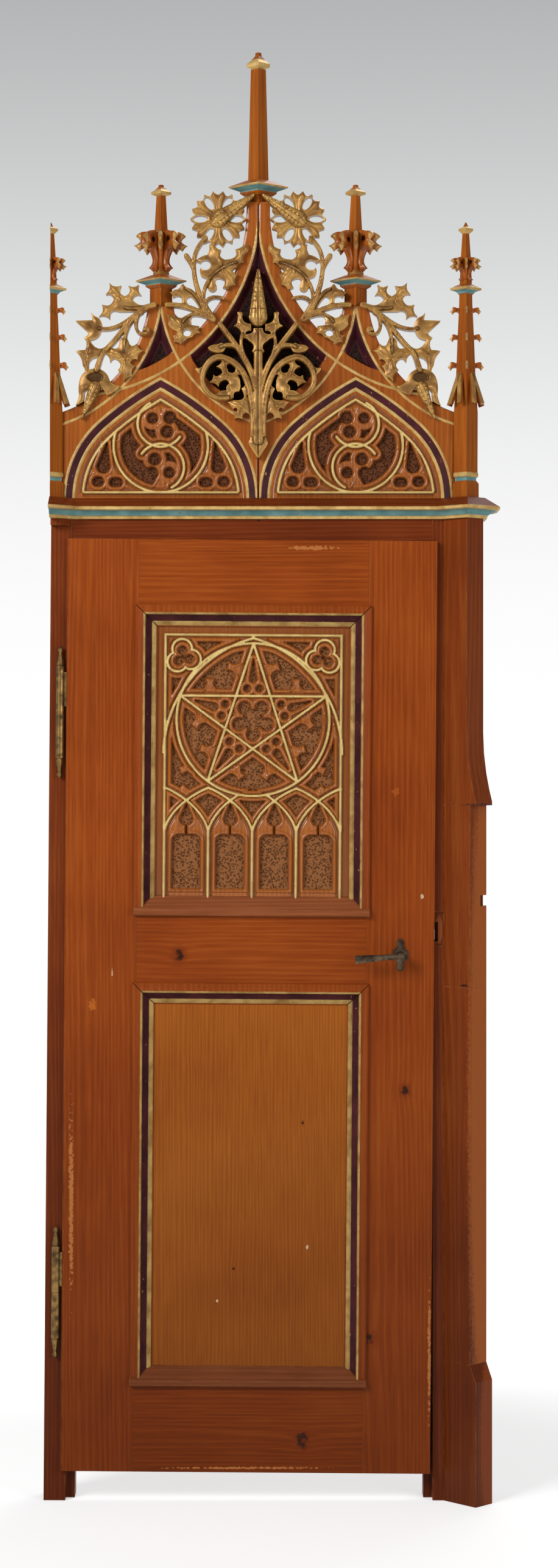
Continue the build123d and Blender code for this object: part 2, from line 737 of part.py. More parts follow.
def star_tracery(width, height):
    """Fillets and sunk grounds of the upper panel, from the middle of its field's foot."""
    half = width / 2
    ring_z = height - ring_drop_share * width
    ring = ring_share * width
    centre = Pos(0, ring_z)
    tips = [polar(90 + 360 * i / star_points, ring) for i in range(star_points)]
    strokes = [(tips[i], tips[(i + 2) % star_points]) for i in range(star_points)]
    star = Sketch() + [bar(a, b, fillet_width) for a, b in strokes]
    thick = Sketch() + [bar(a, b, rib_width) for a, b in strokes]
    inner = ring * math.cos(math.radians(72)) / math.cos(math.radians(36))
    knuckles = [polar(90 + 180 / star_points + 360 * i / star_points, inner) for i in range(star_points)]
    hull = outline([place for pair in zip(tips, knuckles) for place in pair])
    segments = RegularPolygon(ring - rib_width / 2, hoop_chops) - thick - hull
    rose = foils(star_points, -90, foil_reach_share * width, foil_radius_share * width)
    grounds = centre * (segments + rose)
    grounds += centre * foils(star_points, 90, tip_reach_share * width, tip_radius_share * width)
    fillets = centre * (star + hoop(ring, fillet_width, hoop_chops))
    spring = height - spring_drop_share * width
    vault = vault_share * width
    for side in (-1, 1):
        arc = Pos(side * (half - vault), spring) * hoop(vault - fillet_width / 2, fillet_width, hoop_chops)
        fillets += arc & (Pos(side * half / 2, spring + half) * Rectangle(half, width))
        corner = Pos(side * (half - corner_share * width), height - corner_share * width)
        turn = 90 - side * (90 - corner_turn)
        rim = foils(3, turn, corner_reach_share * width, corner_foil_share * width)
        core = foils(3, turn, corner_reach_share * width, corner_foil_share * width - fillet_width)
        fillets += corner * (rim - core)
        grounds += corner * core
    arcade = arcade_share * width
    rise = arcade_rise_share * width
    pitch = (width - fillet_width) / bays
    ribs = Sketch()
    for i in range(bays + 1):
        x = (i - bays / 2) * pitch
        fillets += bar((x, 0), (x, arcade), fillet_width)
        for side in (-1, 1):
            if 0 <= i + side <= bays:
                bends = [(x + side * u * pitch, arcade + v * rise) for u, v in arcade_bend_shares]
                end = (x + side * pitch, arcade + rise)
                ribs += ribbon((x, arcade), bends[0], bends[1], end, fillet_width, fillet_width)
    fillets += ribs - centre * RegularPolygon(ring, hoop_chops)
    for i in range(bays):
        x = (i + 1 / 2 - bays / 2) * pitch
        top, foot = bay_pocket_top_share * width, bay_pocket_foot_share * width
        grounds += Pos(x, (top + foot) / 2) * Rectangle(bay_pocket_share * pitch, top - foot)
        grounds += Pos(x, bay_eye_share * width) * eye(bay_eye_radius_share * width)
    for x in (-pitch, pitch):
        lozenge = lozenge_share * width
        grounds += Pos(x, arcade + rise - 2 * lozenge) * Rotation(0, 0, 45) * Rectangle(lozenge, lozenge)
        grounds += Pos(2 * x - math.copysign(lozenge, x), arcade + rise) * eye(haunch_share * width)
    edge, top = half - fillet_width / 2, height - fillet_width / 2
    for side in (-1, 1):
        fillets += bar((side * edge, 0), (side * edge, height), fillet_width)
    fillets += bar((-half, top), (half, top), fillet_width)
    return fillets, grounds


def lunette_panel():
    """The left lunette's carved panel, with a wheel whose mouchettes turn about its middle."""
    place = Pos(lunette_x(), crest_base)
    inset = lunette_band + lunette_step + joint_gap
    front = board_front + lunette_face
    panel = slab(place * lunette_face_drawing(inset), front, front + panel_board)
    rim = inset + wheel_rim_gap
    fillets = lunette_face_drawing(rim) - lunette_face_drawing(rim + fillet_width)
    half = lunette_width_share * crest_half - rim
    fillets += bar((-half, wheel_foot), (half, wheel_foot), fillet_width)
    fillets &= Pos(0, wheel_foot - fillet_width / 2 + crest_half / 2) * Rectangle(crest_half, crest_half)
    hub_z = wheel_height_share * crest_half
    wheel = Pos(0, hub_z) * hoop(wheel_share * crest_half, fillet_width, hoop_chops)
    fillets += wheel & lunette_face_drawing(rim)
    curl = curl_share * crest_half
    for turn in (0, 180):
        ring = Pos(0, curl) * hoop(curl, fillet_width, curl_chops)
        far = [polar(bearing, crest_half) for bearing in curl_open_turns]
        ring -= Pos(0, curl) * outline([(0, 0)] + far)
        fillets += Pos(0, hub_z) * Rotation(0, 0, turn) * ring
    panel += slab(place * fillets, front - tracery_rise, front)
    grounds = Sketch()
    for turn in (0, 180):
        eyes = [
            Pos(x * crest_half, z * crest_half) * eye(r * crest_half) for x, z, r in wheel_eye_shares
        ]
        grounds += Pos(0, hub_z) * Rotation(0, 0, turn) * (Sketch() + eyes)
    for side in (-1, 1):
        for x, z, r in corner_eye_shares:
            grounds += Pos(side * x * crest_half, z * crest_half) * eye(r * crest_half)
    return panel - slab(place * grounds, front - tracery_rise - overrun, front + tracery_sink)


# Pinnacles

def crocket(reach, thickness):
    """A leaf that curls out from a shaft along x."""
    points = [(u * reach, v * reach) for u, v in crocket_outline_shares]
    return slab(outline(points), -thickness / 2, thickness / 2)


def ring_of(shape, reach, z, turns):
    """The same piece about a shaft at each bearing."""
    placed = [Pos(0, 0, z) * Rotation(0, 0, turn) * Pos(reach, 0, 0) * shape for turn in turns]
    return Part() + placed


def spire(half, top_half, height, knop_half, knop_height):
    """A tapering shaft with its knop."""
    shaft = diamond_stack([(half / half, 0), (top_half / half, 1)], half, height)
    return shaft + Pos(0, 0, height) * diamond_stack(knop_shares, knop_half, knop_height)


def mid_crown():
    """Neck with a crown of curled leaves."""
    crown = diamond_stack(crown_neck_shares, mid_neck_half, mid_crown_height)
    top = mid_crown_height * crown_level_share
    seat = mid_neck_half * crown_seat_share
    quarters = (0, 90, 180, 270)
    crown += ring_of(crocket(crown_reach, crown_thickness), seat, top, quarters)
    small = crocket(crown_reach * crown_small_share, crown_thickness)
    return crown + ring_of(small, seat, mid_crown_height * crown_foot_share, quarters)


def outer_pinnacle():
    """A pinnacle on its pedestal, with gablets, crockets, abacus and crown, plain at the back."""
    body = diamond_stack(pinnacle_shares, pinnacle_half, pinnacle_height)
    sides = (0, 180, 270)
    for level in crocket_shares:
        half = pinnacle_half * crocket_seat_share
        body += ring_of(crocket(crocket_reach, crocket_thickness), half, level * pinnacle_height, sides)
    crown = crocket(pinnacle_crown_reach, crocket_thickness)
    seat = pinnacle_half * crown_small_share / root_two
    body += ring_of(crown, seat, pinnacle_crown_share * pinnacle_height, sides)
    slat = Rotation(0, -gablet_tilt, 0) * box(
        -gablet_thickness, 0, -gablet_width / 2, gablet_width / 2, -gablet_length, 0
    )
    return body + ring_of(slat, pinnacle_half, gablet_top_share * pinnacle_height, sides)


# Leafwork

def lobed_leaf(x, z, turn, radius, lobes):
    """A flat leaf with splayed lobes and round bites between them."""
    points = []
    step = leaf_spread / lobes
    for i in range(lobes):
        bearing = turn - leaf_spread / 2 + step * (i + 1 / 2)
        for swing_share, reach_share in lobe_shares:
            points.append(polar(bearing + step * swing_share, radius * reach_share))
    return Pos(x, z) * outline(points)


def leafwork(stems, leaves, more):
    """Stems, leaves and other outlines of one spray, as one drawing."""
    shapes = []
    for start, bend, other_bend, end, wide, narrow in stems:
        places = [crest_point(p) for p in (start, bend, other_bend, end)]
        shapes.append(ribbon(*places, wide * crest_half, narrow * crest_half))
    for x, z, turn, radius, lobes in leaves:
        shapes.append(lobed_leaf(*crest_point((x, z)), turn, radius * crest_half, lobes))
    return Sketch() + shapes + more


def cob(ends, half_share, y):
    """A faceted fruit between two places of the cresting."""
    start, end = crest_point(ends[0]), crest_point(ends[1])
    length = math.hypot(end[0] - start[0], end[1] - start[1])
    axis = Plane(
        origin=(start[0], y, start[1]), x_dir=(0, 1, 0), z_dir=(end[0] - start[0], 0, end[1] - start[1])
    )
    half = half_share * crest_half
    return axis * faceted([ring(wide * half, cob_sides, along * length) for wide, along in cob_outline_shares])


def rosette():
    """The flower at the top of an inner spray, pierced between its petals."""
    radius = rosette_radius_share * crest_half
    points = []
    for i in range(rosette_petals):
        bearing = 360 * (i + 1 / 2) / rosette_petals
        for swing_share, reach_share in petal_shares:
            points.append(polar(bearing + swing_share * 360 / rosette_petals, reach_share * radius))
    flower = outline(points)
    for i in range(rosette_petals):
        place = Rotation(0, 0, 360 * i / rosette_petals) * Pos(radius * pierce_reach_share, 0)
        flower -= place * RegularPolygon(radius * pierce_share, pierce_chops)
    return Pos(*crest_point(rosette_share)) * flower


def inner_foliage():
    """The spray between the side pinnacle and the middle gable."""
    drawing = leafwork(inner_stem_shares, inner_leaf_shares, [rosette()]) - board_drawing()
    front = board_front - leaf_front
    solid = slab(drawing, front, front + leaf_board)
    return solid + cob(inner_cob_shares, cob_half_share, front)


def outer_foliage():
    """The spray outside the side gable."""
    more = [outline([crest_point(p) for p in table]) for table in (bud_shares, hood_shares)]
    drawing = leafwork(outer_stem_shares, outer_leaf_shares, more) - board_drawing()
    front = board_front - leaf_front
    solid = slab(drawing, front, front + leaf_board)
    return solid + cob(outer_cob_shares, cob_half_share, front)


def centre_foliage():
    """The left half of the spray that fills the middle gable."""
    radius, band = scroll_radius_share * crest_half, scroll_band_share * crest_half
    scroll = Pos(*crest_point(scroll_share)) * hoop(radius, band, curl_chops)
    heart = outline([crest_point(p) for p in heart_shares])
    drawing = leafwork(centre_stem_shares, centre_leaf_shares, [scroll, heart])
    drawing &= centre_gable(ogee_splay + seat_gap, centre_neck_share) - shoulder(valley_share)
    solid = slab(drawing, foliage_front, board_front + recess_depth)
    solid += cob(centre_cob_shares, centre_cob_half_share, foliage_front)
    seam = crest_x - seam_gap / 2
    return solid & box(crest_x - crest_half, seam, -crest_half, board_front + recess_depth, crest_base,
                       crest_base + 2 * crest_half)


# Leaf

def rebated(shape):
    """The leaf's back half, cut in from the lip at both sides and the top."""
    back = body_back + overrun
    left, right = leaf_left - overrun, leaf_right + overrun
    low, high = leaf_bottom - overrun, leaf_top + overrun
    shape -= box(left, leaf_left + lip_width, lip_back, back, low, high)
    shape -= box(body_edge, right, lip_back, back, low, high)
    return shape - box(left, right, lip_back, back, leaf_top - lip_width, high)


def groove(x0, x1, z0, z1, play):
    """The room that a panel's edge takes up in the stiles and rails."""
    front = groove_centre - groove_width / 2 - play
    back = groove_centre + groove_width / 2 + play
    return box(x0 - groove_depth, x1 + groove_depth, front, back, z0 - groove_depth, z1 + groove_depth)


def panel_grooves():
    """Grooves round both openings."""
    openings = (upper_opening, lower_opening)
    return [groove(opening_left, opening_right, low, high, 0) for low, high in openings]


def tenons(bottom, top, play):
    """A rail's two tenons, or with play their mortises."""
    front = groove_centre - tenon_thickness / 2 - play
    back = groove_centre + tenon_thickness / 2 + play
    low, high = bottom + tenon_shoulder - play, top - tenon_shoulder + play
    left = box(opening_left - tenon_length - play, opening_left, front, back, low, high)
    return [left, box(opening_right, opening_right + tenon_length + play, front, back, low, high)]


def rail_levels():
    """Bottom and top of each rail."""
    return {
        "top_rail": (upper_opening[1], leaf_top),
        "lock_rail": (lock_rail_bottom, lock_rail_top),
        "bottom_rail": (leaf_bottom, lower_opening[0]),
    }


def rail(name):
    """A rail with its tenons, grooved for the panels."""
    bottom, top = rail_levels()[name]
    body = rebated(box(opening_left, opening_right, lip_front, body_back, bottom, top))
    for room in panel_grooves():
        body -= room
    for tenon in tenons(bottom, top, 0):
        body += tenon
    return body


def stile(x0, x1):
    """A stile with its mortises and panel grooves, and a bead along its outer edges."""
    body = rebated(box(x0, x1, lip_front, body_back, leaf_bottom, leaf_top))
    for room in panel_grooves():
        body -= room
    for bottom, top in rail_levels().values():
        for mortise in tenons(bottom, top, joint_gap):
            body -= mortise
    return body


def hinge_stile():
    """The stile that the hinge plates go into."""
    body = stile(leaf_left, opening_left)
    for base in (upper_hinge_base, lower_hinge_base):
        body -= plate_block(base, True, joint_gap)
    return body - box(
        leaf_left - overrun, leaf_left + edge_bead, lip_front - overrun, lip_front + edge_bead,
        leaf_bottom - overrun, leaf_top + overrun,
    )


def lock_stile():
    """The stile that holds the lock, bored for the spindle and the rose screws."""
    body = stile(opening_right, leaf_right)
    left = body_edge - forend_thickness - case_width
    right = body_edge + overrun
    middle = (lip_back + body_back) / 2
    half = case_thickness / 2 + joint_gap
    top = lever_z + case_above
    low, high = top - case_height - joint_gap, top + joint_gap
    body -= box(left - joint_gap, right, middle - half, middle + half, low, high)
    half = forend_width / 2 + joint_gap
    level = top - case_height / 2
    low, high = level - forend_height / 2 - joint_gap, level + forend_height / 2 + joint_gap
    body -= box(body_edge - forend_thickness, right, middle - half, middle + half, low, high)
    bore = Pos(lever_x, (lip_front + body_back) / 2, lever_z) * Rotation(90, 0, 0)
    body -= bore * Cylinder(neck_radius + joint_gap, body_back - lip_front + overrun)
    return body - rose_screws()


def panel_blank(low, high):
    """A panel with thin edges in the grooves and a thicker field."""
    edge = groove(opening_left, opening_right, low, high, 0)
    room = groove_depth - panel_play
    edge &= box(opening_left - room, opening_right + room, -leaf_width, leaf_width, low - room, high + room)
    return edge + box(opening_left + panel_play, opening_right - panel_play, panel_front,
                      panel_front + panel_thickness, low + panel_play, high - panel_play)


def upper_panel():
    """The carved panel: raised fillets over sunk grounds."""
    low, high = upper_opening
    reveal = moulding_width - moulding_overlap
    x0, x1 = opening_left + reveal + field_margin, opening_right - reveal - field_margin
    z0, z1 = low + sill_height - moulding_overlap + panel_play, high - reveal - field_margin
    fillets, grounds = star_tracery(x1 - x0, z1 - z0)
    place = Pos((x0 + x1) / 2, z0)
    panel = panel_blank(low, high)
    panel -= slab(place * grounds, panel_front - overrun, panel_front + tracery_sink)
    return panel + slab(place * fillets, panel_front - tracery_rise, panel_front)


def lower_panel():
    """The plain panel."""
    return panel_blank(*lower_opening)


def sill(low):
    """The sloped sill under a panel."""
    bottom = low - moulding_overlap
    top = bottom + sill_height
    nose = lip_front - sill_rise
    section = [
        (lip_front, bottom), (nose + sill_nib, bottom), (nose, bottom + sill_nib),
        (nose, bottom + sill_nose), (panel_front, top), (panel_front, low), (lip_front, low),
    ]
    run = across(section, opening_left - moulding_overlap, opening_right + moulding_overlap)
    under, over = low - sill_height, low + sill_height
    front = box(leaf_left, leaf_right, -leaf_width, lip_front, under, over)
    between = box(opening_left, opening_right, -leaf_width, leaf_width, under, over)
    return run & (front + between)


def moulding_profile():
    """Width across and depth of a panel moulding's section."""
    points = []
    for u, v in moulding_shares:
        lift = v * moulding_rise if v > 0 else v * panel_sink
        points.append((u * moulding_width, lip_front - lift))
    return points + [(moulding_overlap, panel_front), (moulding_overlap, lip_front)]


def side_moulding(opening):
    """The left moulding of a panel, mitred at the top and scribed to the sill."""
    low, high = opening
    outer = opening_left - moulding_overlap
    top = high + moulding_overlap
    section = [(outer + u, y) for u, y in moulding_profile()]
    run = upright(section, low, top)
    half_gap = mitre_gap / 2
    face = outline([(outer, low), (outer + moulding_width, low),
                    (outer + moulding_width, top - moulding_width - half_gap), (outer, top - half_gap)])
    return (run & slab(face, -leaf_width, leaf_width)) - sill(low)


def right_moulding(opening):
    """The right moulding, which mirrors the left one."""
    return mirror(side_moulding(opening), about=Plane.YZ.offset((opening_left + opening_right) / 2))


def top_moulding(opening):
    """The moulding over a panel, mitred at both ends."""
    outer, far = opening_left - moulding_overlap, opening_right + moulding_overlap
    top = opening[1] + moulding_overlap
    run = across([(y, top - u) for u, y in moulding_profile()], outer, far)
    half_gap = mitre_gap / 2
    face = outline([(outer + half_gap, top), (far - half_gap, top),
                    (far - moulding_width - half_gap, top - moulding_width),
                    (outer + moulding_width + half_gap, top - moulding_width)])
    return run & slab(face, -leaf_width, leaf_width)


# Hinges

def plate_block(base, on_leaf, play):
    """A hinge plate, or with play its slot: into the leaf's edge, or back into the jamb."""
    half = plate_thickness / 2 + play
    joint = leaf_bottom + base
    reach = plate_length + play
    low, high = plate_start - play, plate_start + plate_height + play
    y = -hinge_stand
    if on_leaf:
        return box(hinge_x, hinge_x + reach, y - half, y + half, joint + low, joint + high)
    return box(hinge_x - half, hinge_x + half, y, y + reach, joint - high, joint - low)


def barrel():
    """One half of a hinge's barrel, from its joint up to its ball finial."""
    length = barrel_length - barrel_gap / 2
    body = Pos(0, 0, barrel_gap / 2 + length / 2) * Cylinder(hinge_radius, length)
    rings = [ring(r * hinge_radius, finial_sides, barrel_length + z * finial_length) for r, z in finial_shares]
    return body + faceted(rings)


def hinge_door_half(base):
    """The upper half, which turns with the leaf on the pin."""
    place = Pos(hinge_x, -hinge_stand, leaf_bottom + base)
    body = place * barrel() + plate_block(base, True, 0)
    reach = hinge_pin_reach + seat_gap
    return body - place * Pos(0, 0, reach / 2) * Cylinder(hinge_pin_radius + running_gap, reach)


def hinge_jamb_half(base):
    """The lower half, fast in the jamb."""
    place = Pos(hinge_x, -hinge_stand, leaf_bottom + base)
    body = place * Rotation(180, 0, 0) * barrel() + plate_block(base, False, 0)
    return body - hinge_pin(base)


def hinge_pin(base):
    """The pin, fast in the lower half."""
    return Pos(hinge_x, -hinge_stand, leaf_bottom + base) * Cylinder(hinge_pin_radius, 2 * hinge_pin_reach)


# Lever, roses and lock

def at_lever(shape):
    """A piece drawn about the lever's axis with the room side up, put in its place."""
    return Pos(lever_x, 0, lever_z) * Rotation(90, 0, 0) * shape


def rose_plate():
    """A round rose with two eared ends."""
    plate = RegularPolygon(rose_radius, rose_sides)
    for side in (-1, 1):
        plate += Pos(0, side * rose_ear_reach) * eye(rose_ear_radius)
    plate += Rectangle(2 * rose_ear_radius, 2 * rose_ear_reach)
    body = extrude(plate, rose_thickness)
    body += extrude(Pos(0, 0, rose_thickness) * RegularPolygon(rose_collar_radius, rose_sides), rose_collar)
    return body - Cylinder(neck_radius + turning_gap, 2 * (rose_thickness + rose_collar) + overrun)


def rose_screws():
    """Four screws, two through each rose."""
    head = extrude(RegularPolygon(screw_head, eye_chops), screw_head_height)
    shank = extrude(RegularPolygon(screw_radius, eye_chops), -screw_length)
    screw = Pos(0, 0, rose_thickness) * (head + shank)
    pair = [Pos(0, side * rose_ear_reach) * screw for side in (-1, 1)]
    front = [at_lever(Pos(0, 0, -lip_front) * one) for one in pair]
    back = [at_lever(Pos(0, 0, -body_back) * Rotation(180, 0, 0) * one) for one in pair]
    return Part() + front + back


def rose_front():
    """The rose on the near side."""
    return at_lever(Pos(0, 0, -lip_front) * rose_plate()) - rose_screws()


def rose_back():
    """The rose on the far side."""
    return at_lever(Pos(0, 0, -body_back) * Rotation(180, 0, 0) * rose_plate()) - rose_screws()


def lever_shape():
    """A round neck and a flattened grip that points to the hinges."""
    start = rose_thickness / 2
    neck = Pos(0, 0, (start + neck_length) / 2) * Cylinder(neck_radius, neck_length - start)
    lift = neck_length - grip_thickness / 2
    grip_plane = Plane(origin=(0, 0, lift), x_dir=(0, 0, 1), z_dir=(-1, 0, 0))
    waist = grip_length * grip_waist_share
    sections = []
    for along, width in ((-neck_radius, grip_root), (waist, grip_root), (grip_length, grip_width)):
        half_x, half_y = grip_thickness / 2, width / 2
        corners = [(u * half_x, v * half_y) for u, v in grip_section_shares]
        sections.append(grip_plane * Pos(0, 0, along) * outline(corners))
    return neck + loft(sections, ruled=True)


def spindle():
    """Square spindle through the lock."""
    front, back = lip_front - neck_length / 2, body_back + neck_length / 2
    return box(lever_x - spindle_side / 2, lever_x + spindle_side / 2, front, back,
               lever_z - spindle_side / 2, lever_z + spindle_side / 2)


def lever_front():
    """The near lever."""
    return at_lever(Pos(0, 0, -lip_front) * Rotation(0, 0, lever_droop) * lever_shape()) - spindle()


def lever_back():
    """The far lever, which mirrors the near one."""
    middle = (lip_front + body_back) / 2
    return mirror(lever_front(), about=Plane.XZ.offset(-middle))


def follower():
    """The lock's follower on the spindle."""
    middle = (lip_back + body_back) / 2
    return at_lever(Pos(0, 0, -middle) * Cylinder(follower_radius, follower_thickness)) - spindle()


def lock_case():
    """A box let into the stile's edge, open to the forend for the latch."""
    middle = (lip_back + body_back) / 2
    right = body_edge - forend_thickness
    left = right - case_width
    top = lever_z + case_above
    half = case_thickness / 2
    shell = box(left, right, middle - half, middle + half, top - case_height, top)
    shell -= box(left + case_wall, right + overrun, middle - half + case_wall, middle + half - case_wall,
                 top - case_height + case_wall, top - case_wall)
    hole = Pos(lever_x, middle, lever_z) * Rotation(90, 0, 0) * Cylinder(neck_radius, 2 * case_thickness)
    return shell - hole


def latch_head(play):
    """The latch's head, or with play the hole that it slides in."""
    middle = (lip_back + body_back) / 2
    z = lever_z + latch_rise
    half_y = latch_thickness / 2 + play
    half_z = latch_height / 2 + play
    left, right = body_edge - latch_tail, body_edge + latch_throw
    return box(left, right, middle - half_y, middle + half_y, z - half_z, z + half_z)


def lock_forend():
    """The plate on the leaf's edge."""
    middle = (lip_back + body_back) / 2
    z = lever_z + case_above - case_height / 2
    half_y, half_z = forend_width / 2, forend_height / 2
    left = body_edge - forend_thickness
    plate = box(left, body_edge, middle - half_y, middle + half_y, z - half_z, z + half_z)
    return plate - latch_head(latch_play)


def latch_bolt():
    """The latch, with a slope on the side that meets the keep as the leaf closes."""
    tip = body_edge + latch_throw
    side = (lip_back + body_back + latch_thickness) / 2
    corner = [(tip, side), (tip - latch_throw / 2, side), (tip, side - latch_thickness / 2)]
    return latch_head(0) - upright(corner, lever_z, lever_z + 2 * latch_rise)


# Each node by name, with the leaning ones hung out of plumb

def plumb_nodes():
    """Pieces of the frame that stand plumb."""
    side_x, side_z = crest_point((-0.5, side_neck_share))
    side = Pos(side_x, stack_y, side_z + mid_shaft_height)
    mid_abacus = side * diamond_stack(abacus_shares, mid_abacus_half, mid_abacus_height)
    crown = side * Pos(0, 0, mid_abacus_height) * mid_crown()
    mid_spire = side * Pos(0, 0, mid_abacus_height + mid_crown_height) * spire(
        mid_spire_half, mid_spire_top, mid_spire_height, mid_knop_half, mid_knop_height
    )
    centre = Pos(crest_x, stack_y, crest_point((0, centre_neck_share))[1] + centre_shaft_height)
    centre_spire = spire(
        centre_spire_half, centre_spire_top, centre_spire_height, centre_knop_half, centre_knop_height
    )
    pinnacle = outer_pinnacle()
    right_pinnacle = Pos(arris_x, pinnacle_y, crest_base) * pinnacle
    left_pinnacle = Pos(left_edge, pinnacle_y, crest_base) * pinnacle
    left_pinnacle &= box(left_edge, left_edge + crest_half, -crest_half, crest_half, crest_base,
                         crest_base + 2 * pinnacle_height)
    board = cresting_board()
    panel = lunette_panel()
    inner, outer, middle = inner_foliage() - board, outer_foliage() - board, centre_foliage() - board
    return {
        "right_jamb": right_jamb(),
        "frame_head": frame_head(),
        "right_post_upper": right_post_upper(),
        "right_post_middle": right_post_middle(),
        "right_post_lower": right_post_lower(),
        "right_plinth": right_plinth(),
        "left_post_stub": left_post_stub(),
        "cornice": cornice(),
        "cresting_board_left": board,
        "cresting_board_right": flip(board),
        "lunette_panel_left": panel,
        "lunette_panel_right": flip(panel),
        "centre_foliage_left": middle,
        "centre_foliage_right": flip(middle),
        "inner_foliage_left": inner,
        "inner_foliage_right": flip(inner),
        "outer_foliage_left": outer,
        "outer_foliage_right": flip(outer),
        "centre_abacus": centre * diamond_stack(abacus_shares, centre_abacus_half, centre_abacus_height),
        "centre_spire": centre * Pos(0, 0, centre_abacus_height) * centre_spire,
        "mid_abacus_left": mid_abacus,
        "mid_abacus_right": flip(mid_abacus),
        "mid_crown_left": crown,
        "mid_crown_right": flip(crown),
        "mid_spire_left": mid_spire,
        "mid_spire_right": flip(mid_spire),
        "outer_pinnacle_left": left_pinnacle,
        "outer_pinnacle_right": right_pinnacle,
    }


def hung_nodes():
    """The left jamb and all that hangs on it, drawn plumb."""
    nodes = {
        "left_jamb": left_jamb(),
        "hinge_stile": hinge_stile(),
        "lock_stile": lock_stile(),
        "upper_panel": upper_panel(),
        "lower_panel": lower_panel(),
        "rose_front": rose_front(),
        "rose_back": rose_back(),
        "rose_screws": rose_screws(),
        "lever_front": lever_front(),
        "lever_back": lever_back(),
        "spindle": spindle(),
        "follower": follower(),
        "lock_case": lock_case(),
        "lock_forend": lock_forend(),
        "latch_bolt": latch_bolt(),
    }
    for name in rail_levels():
        nodes[name] = rail(name)
    for name, opening in (("upper", upper_opening), ("lower", lower_opening)):
        nodes[name + "_moulding_left"] = side_moulding(opening)
        nodes[name + "_moulding_right"] = right_moulding(opening)
        nodes[name + "_moulding_top"] = top_moulding(opening)
        nodes[name + "_sill"] = sill(opening[0])
    for name, base in (("upper", upper_hinge_base), ("lower", lower_hinge_base)):
        nodes[name + "_hinge_door_half"] = hinge_door_half(base)
        nodes[name + "_hinge_jamb_half"] = hinge_jamb_half(base)
        nodes[name + "_hinge_pin"] = hinge_pin(base)
    return {name: hang * shape for name, shape in nodes.items()}


os.makedirs("parts", exist_ok=True)
for name, shape in {**plumb_nodes(), **hung_nodes()}.items():
    export_step(shape, "parts/" + name + ".step")
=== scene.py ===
"""Looks of a gothic revival door in its frame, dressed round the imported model.

Lengths are metres. x runs to the right, y into the wall and z up, as in the frame.
"""

from __future__ import annotations

import json
import logging
import math
from dataclasses import dataclass, field, replace
from enum import Enum
from functools import cache
from typing import Any, Callable, Sequence, Union

import bmesh
import bpy
import numpy as np
from bpy.types import ColorRamp, Material, Mesh, NodeSocket, NodeTree, Object, World
from mathutils import Matrix, Vector
from mathutils.geometry import delaunay_2d_cdt

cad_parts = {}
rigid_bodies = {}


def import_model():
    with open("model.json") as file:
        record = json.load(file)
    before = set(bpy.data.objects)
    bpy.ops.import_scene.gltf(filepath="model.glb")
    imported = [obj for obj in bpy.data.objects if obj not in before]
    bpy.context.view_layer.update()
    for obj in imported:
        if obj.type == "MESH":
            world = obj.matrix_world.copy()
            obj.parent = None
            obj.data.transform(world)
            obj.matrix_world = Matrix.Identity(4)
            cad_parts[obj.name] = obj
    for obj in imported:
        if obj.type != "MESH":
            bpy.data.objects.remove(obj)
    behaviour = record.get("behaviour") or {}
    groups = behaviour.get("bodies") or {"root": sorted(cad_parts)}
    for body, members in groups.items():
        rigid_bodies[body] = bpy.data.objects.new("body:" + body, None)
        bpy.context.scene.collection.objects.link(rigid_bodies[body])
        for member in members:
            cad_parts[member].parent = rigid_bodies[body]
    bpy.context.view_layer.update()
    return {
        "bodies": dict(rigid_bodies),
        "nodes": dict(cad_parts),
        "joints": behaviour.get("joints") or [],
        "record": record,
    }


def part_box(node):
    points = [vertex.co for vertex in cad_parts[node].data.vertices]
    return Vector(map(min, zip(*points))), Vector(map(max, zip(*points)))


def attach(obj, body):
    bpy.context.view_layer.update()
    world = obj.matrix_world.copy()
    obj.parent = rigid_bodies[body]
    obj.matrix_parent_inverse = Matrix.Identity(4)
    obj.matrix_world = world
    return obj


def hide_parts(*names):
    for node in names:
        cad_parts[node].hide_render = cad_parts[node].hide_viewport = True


LOG = logging.getLogger("door")
Colour = tuple[float, float, float]
Place = tuple[float, float]
Field = np.ndarray
Number = Union[float, "Value"]
CARVED_CREASE, TURNED_CREASE = 38.0, 30.0
PROUD = 0.0002


# Shader maths

def operator(operation: str, reflected: bool = False) -> Callable[..., "Value"]:
    """A method that adds one Math node, with the other value first where it is reflected.

    Args:
        operation: the Math node's operation.
        reflected: whether the other value is first.

    Returns:
        The method.
    """
    def method(value: "Value", other: Number = 0.0) -> "Value":
        """The node's result."""
        pair = (other, value) if reflected else (value, other)
        return value.paint.node("ShaderNodeMath", {"operation": operation}, dict(enumerate(pair)))
    return method


class Value:
    """A socket that sums and products can be written with."""

    __add__, __radd__ = operator("ADD"), operator("ADD", True)
    __sub__, __rsub__ = operator("SUBTRACT"), operator("SUBTRACT", True)
    __mul__, __rmul__ = operator("MULTIPLY"), operator("MULTIPLY", True)
    __truediv__, __rtruediv__ = operator("DIVIDE"), operator("DIVIDE", True)
    __pow__ = operator("POWER")
    least, most = operator("MINIMUM"), operator("MAXIMUM")
    sine, root, size = operator("SINE"), operator("SQRT"), operator("ABSOLUTE")

    def __init__(self, paint: Any, socket: NodeSocket) -> None:
        """Keep the socket and the tree that it belongs to."""
        self.paint = paint
        self.socket = socket

    def step(self, low: float, high: float) -> "Value":
        """A smooth step from 0 at low to 1 at high.

        Args:
            low: where the step starts.
            high: where it ends.

        Returns:
            The step, from 0 to 1.
        """
        settings = {"interpolation_type": "SMOOTHSTEP", "clamp": True}
        inputs = {"Value": self, "From Min": low, "From Max": high, "To Min": 0.0, "To Max": 1.0}
        return self.paint.node("ShaderNodeMapRange", settings, inputs)


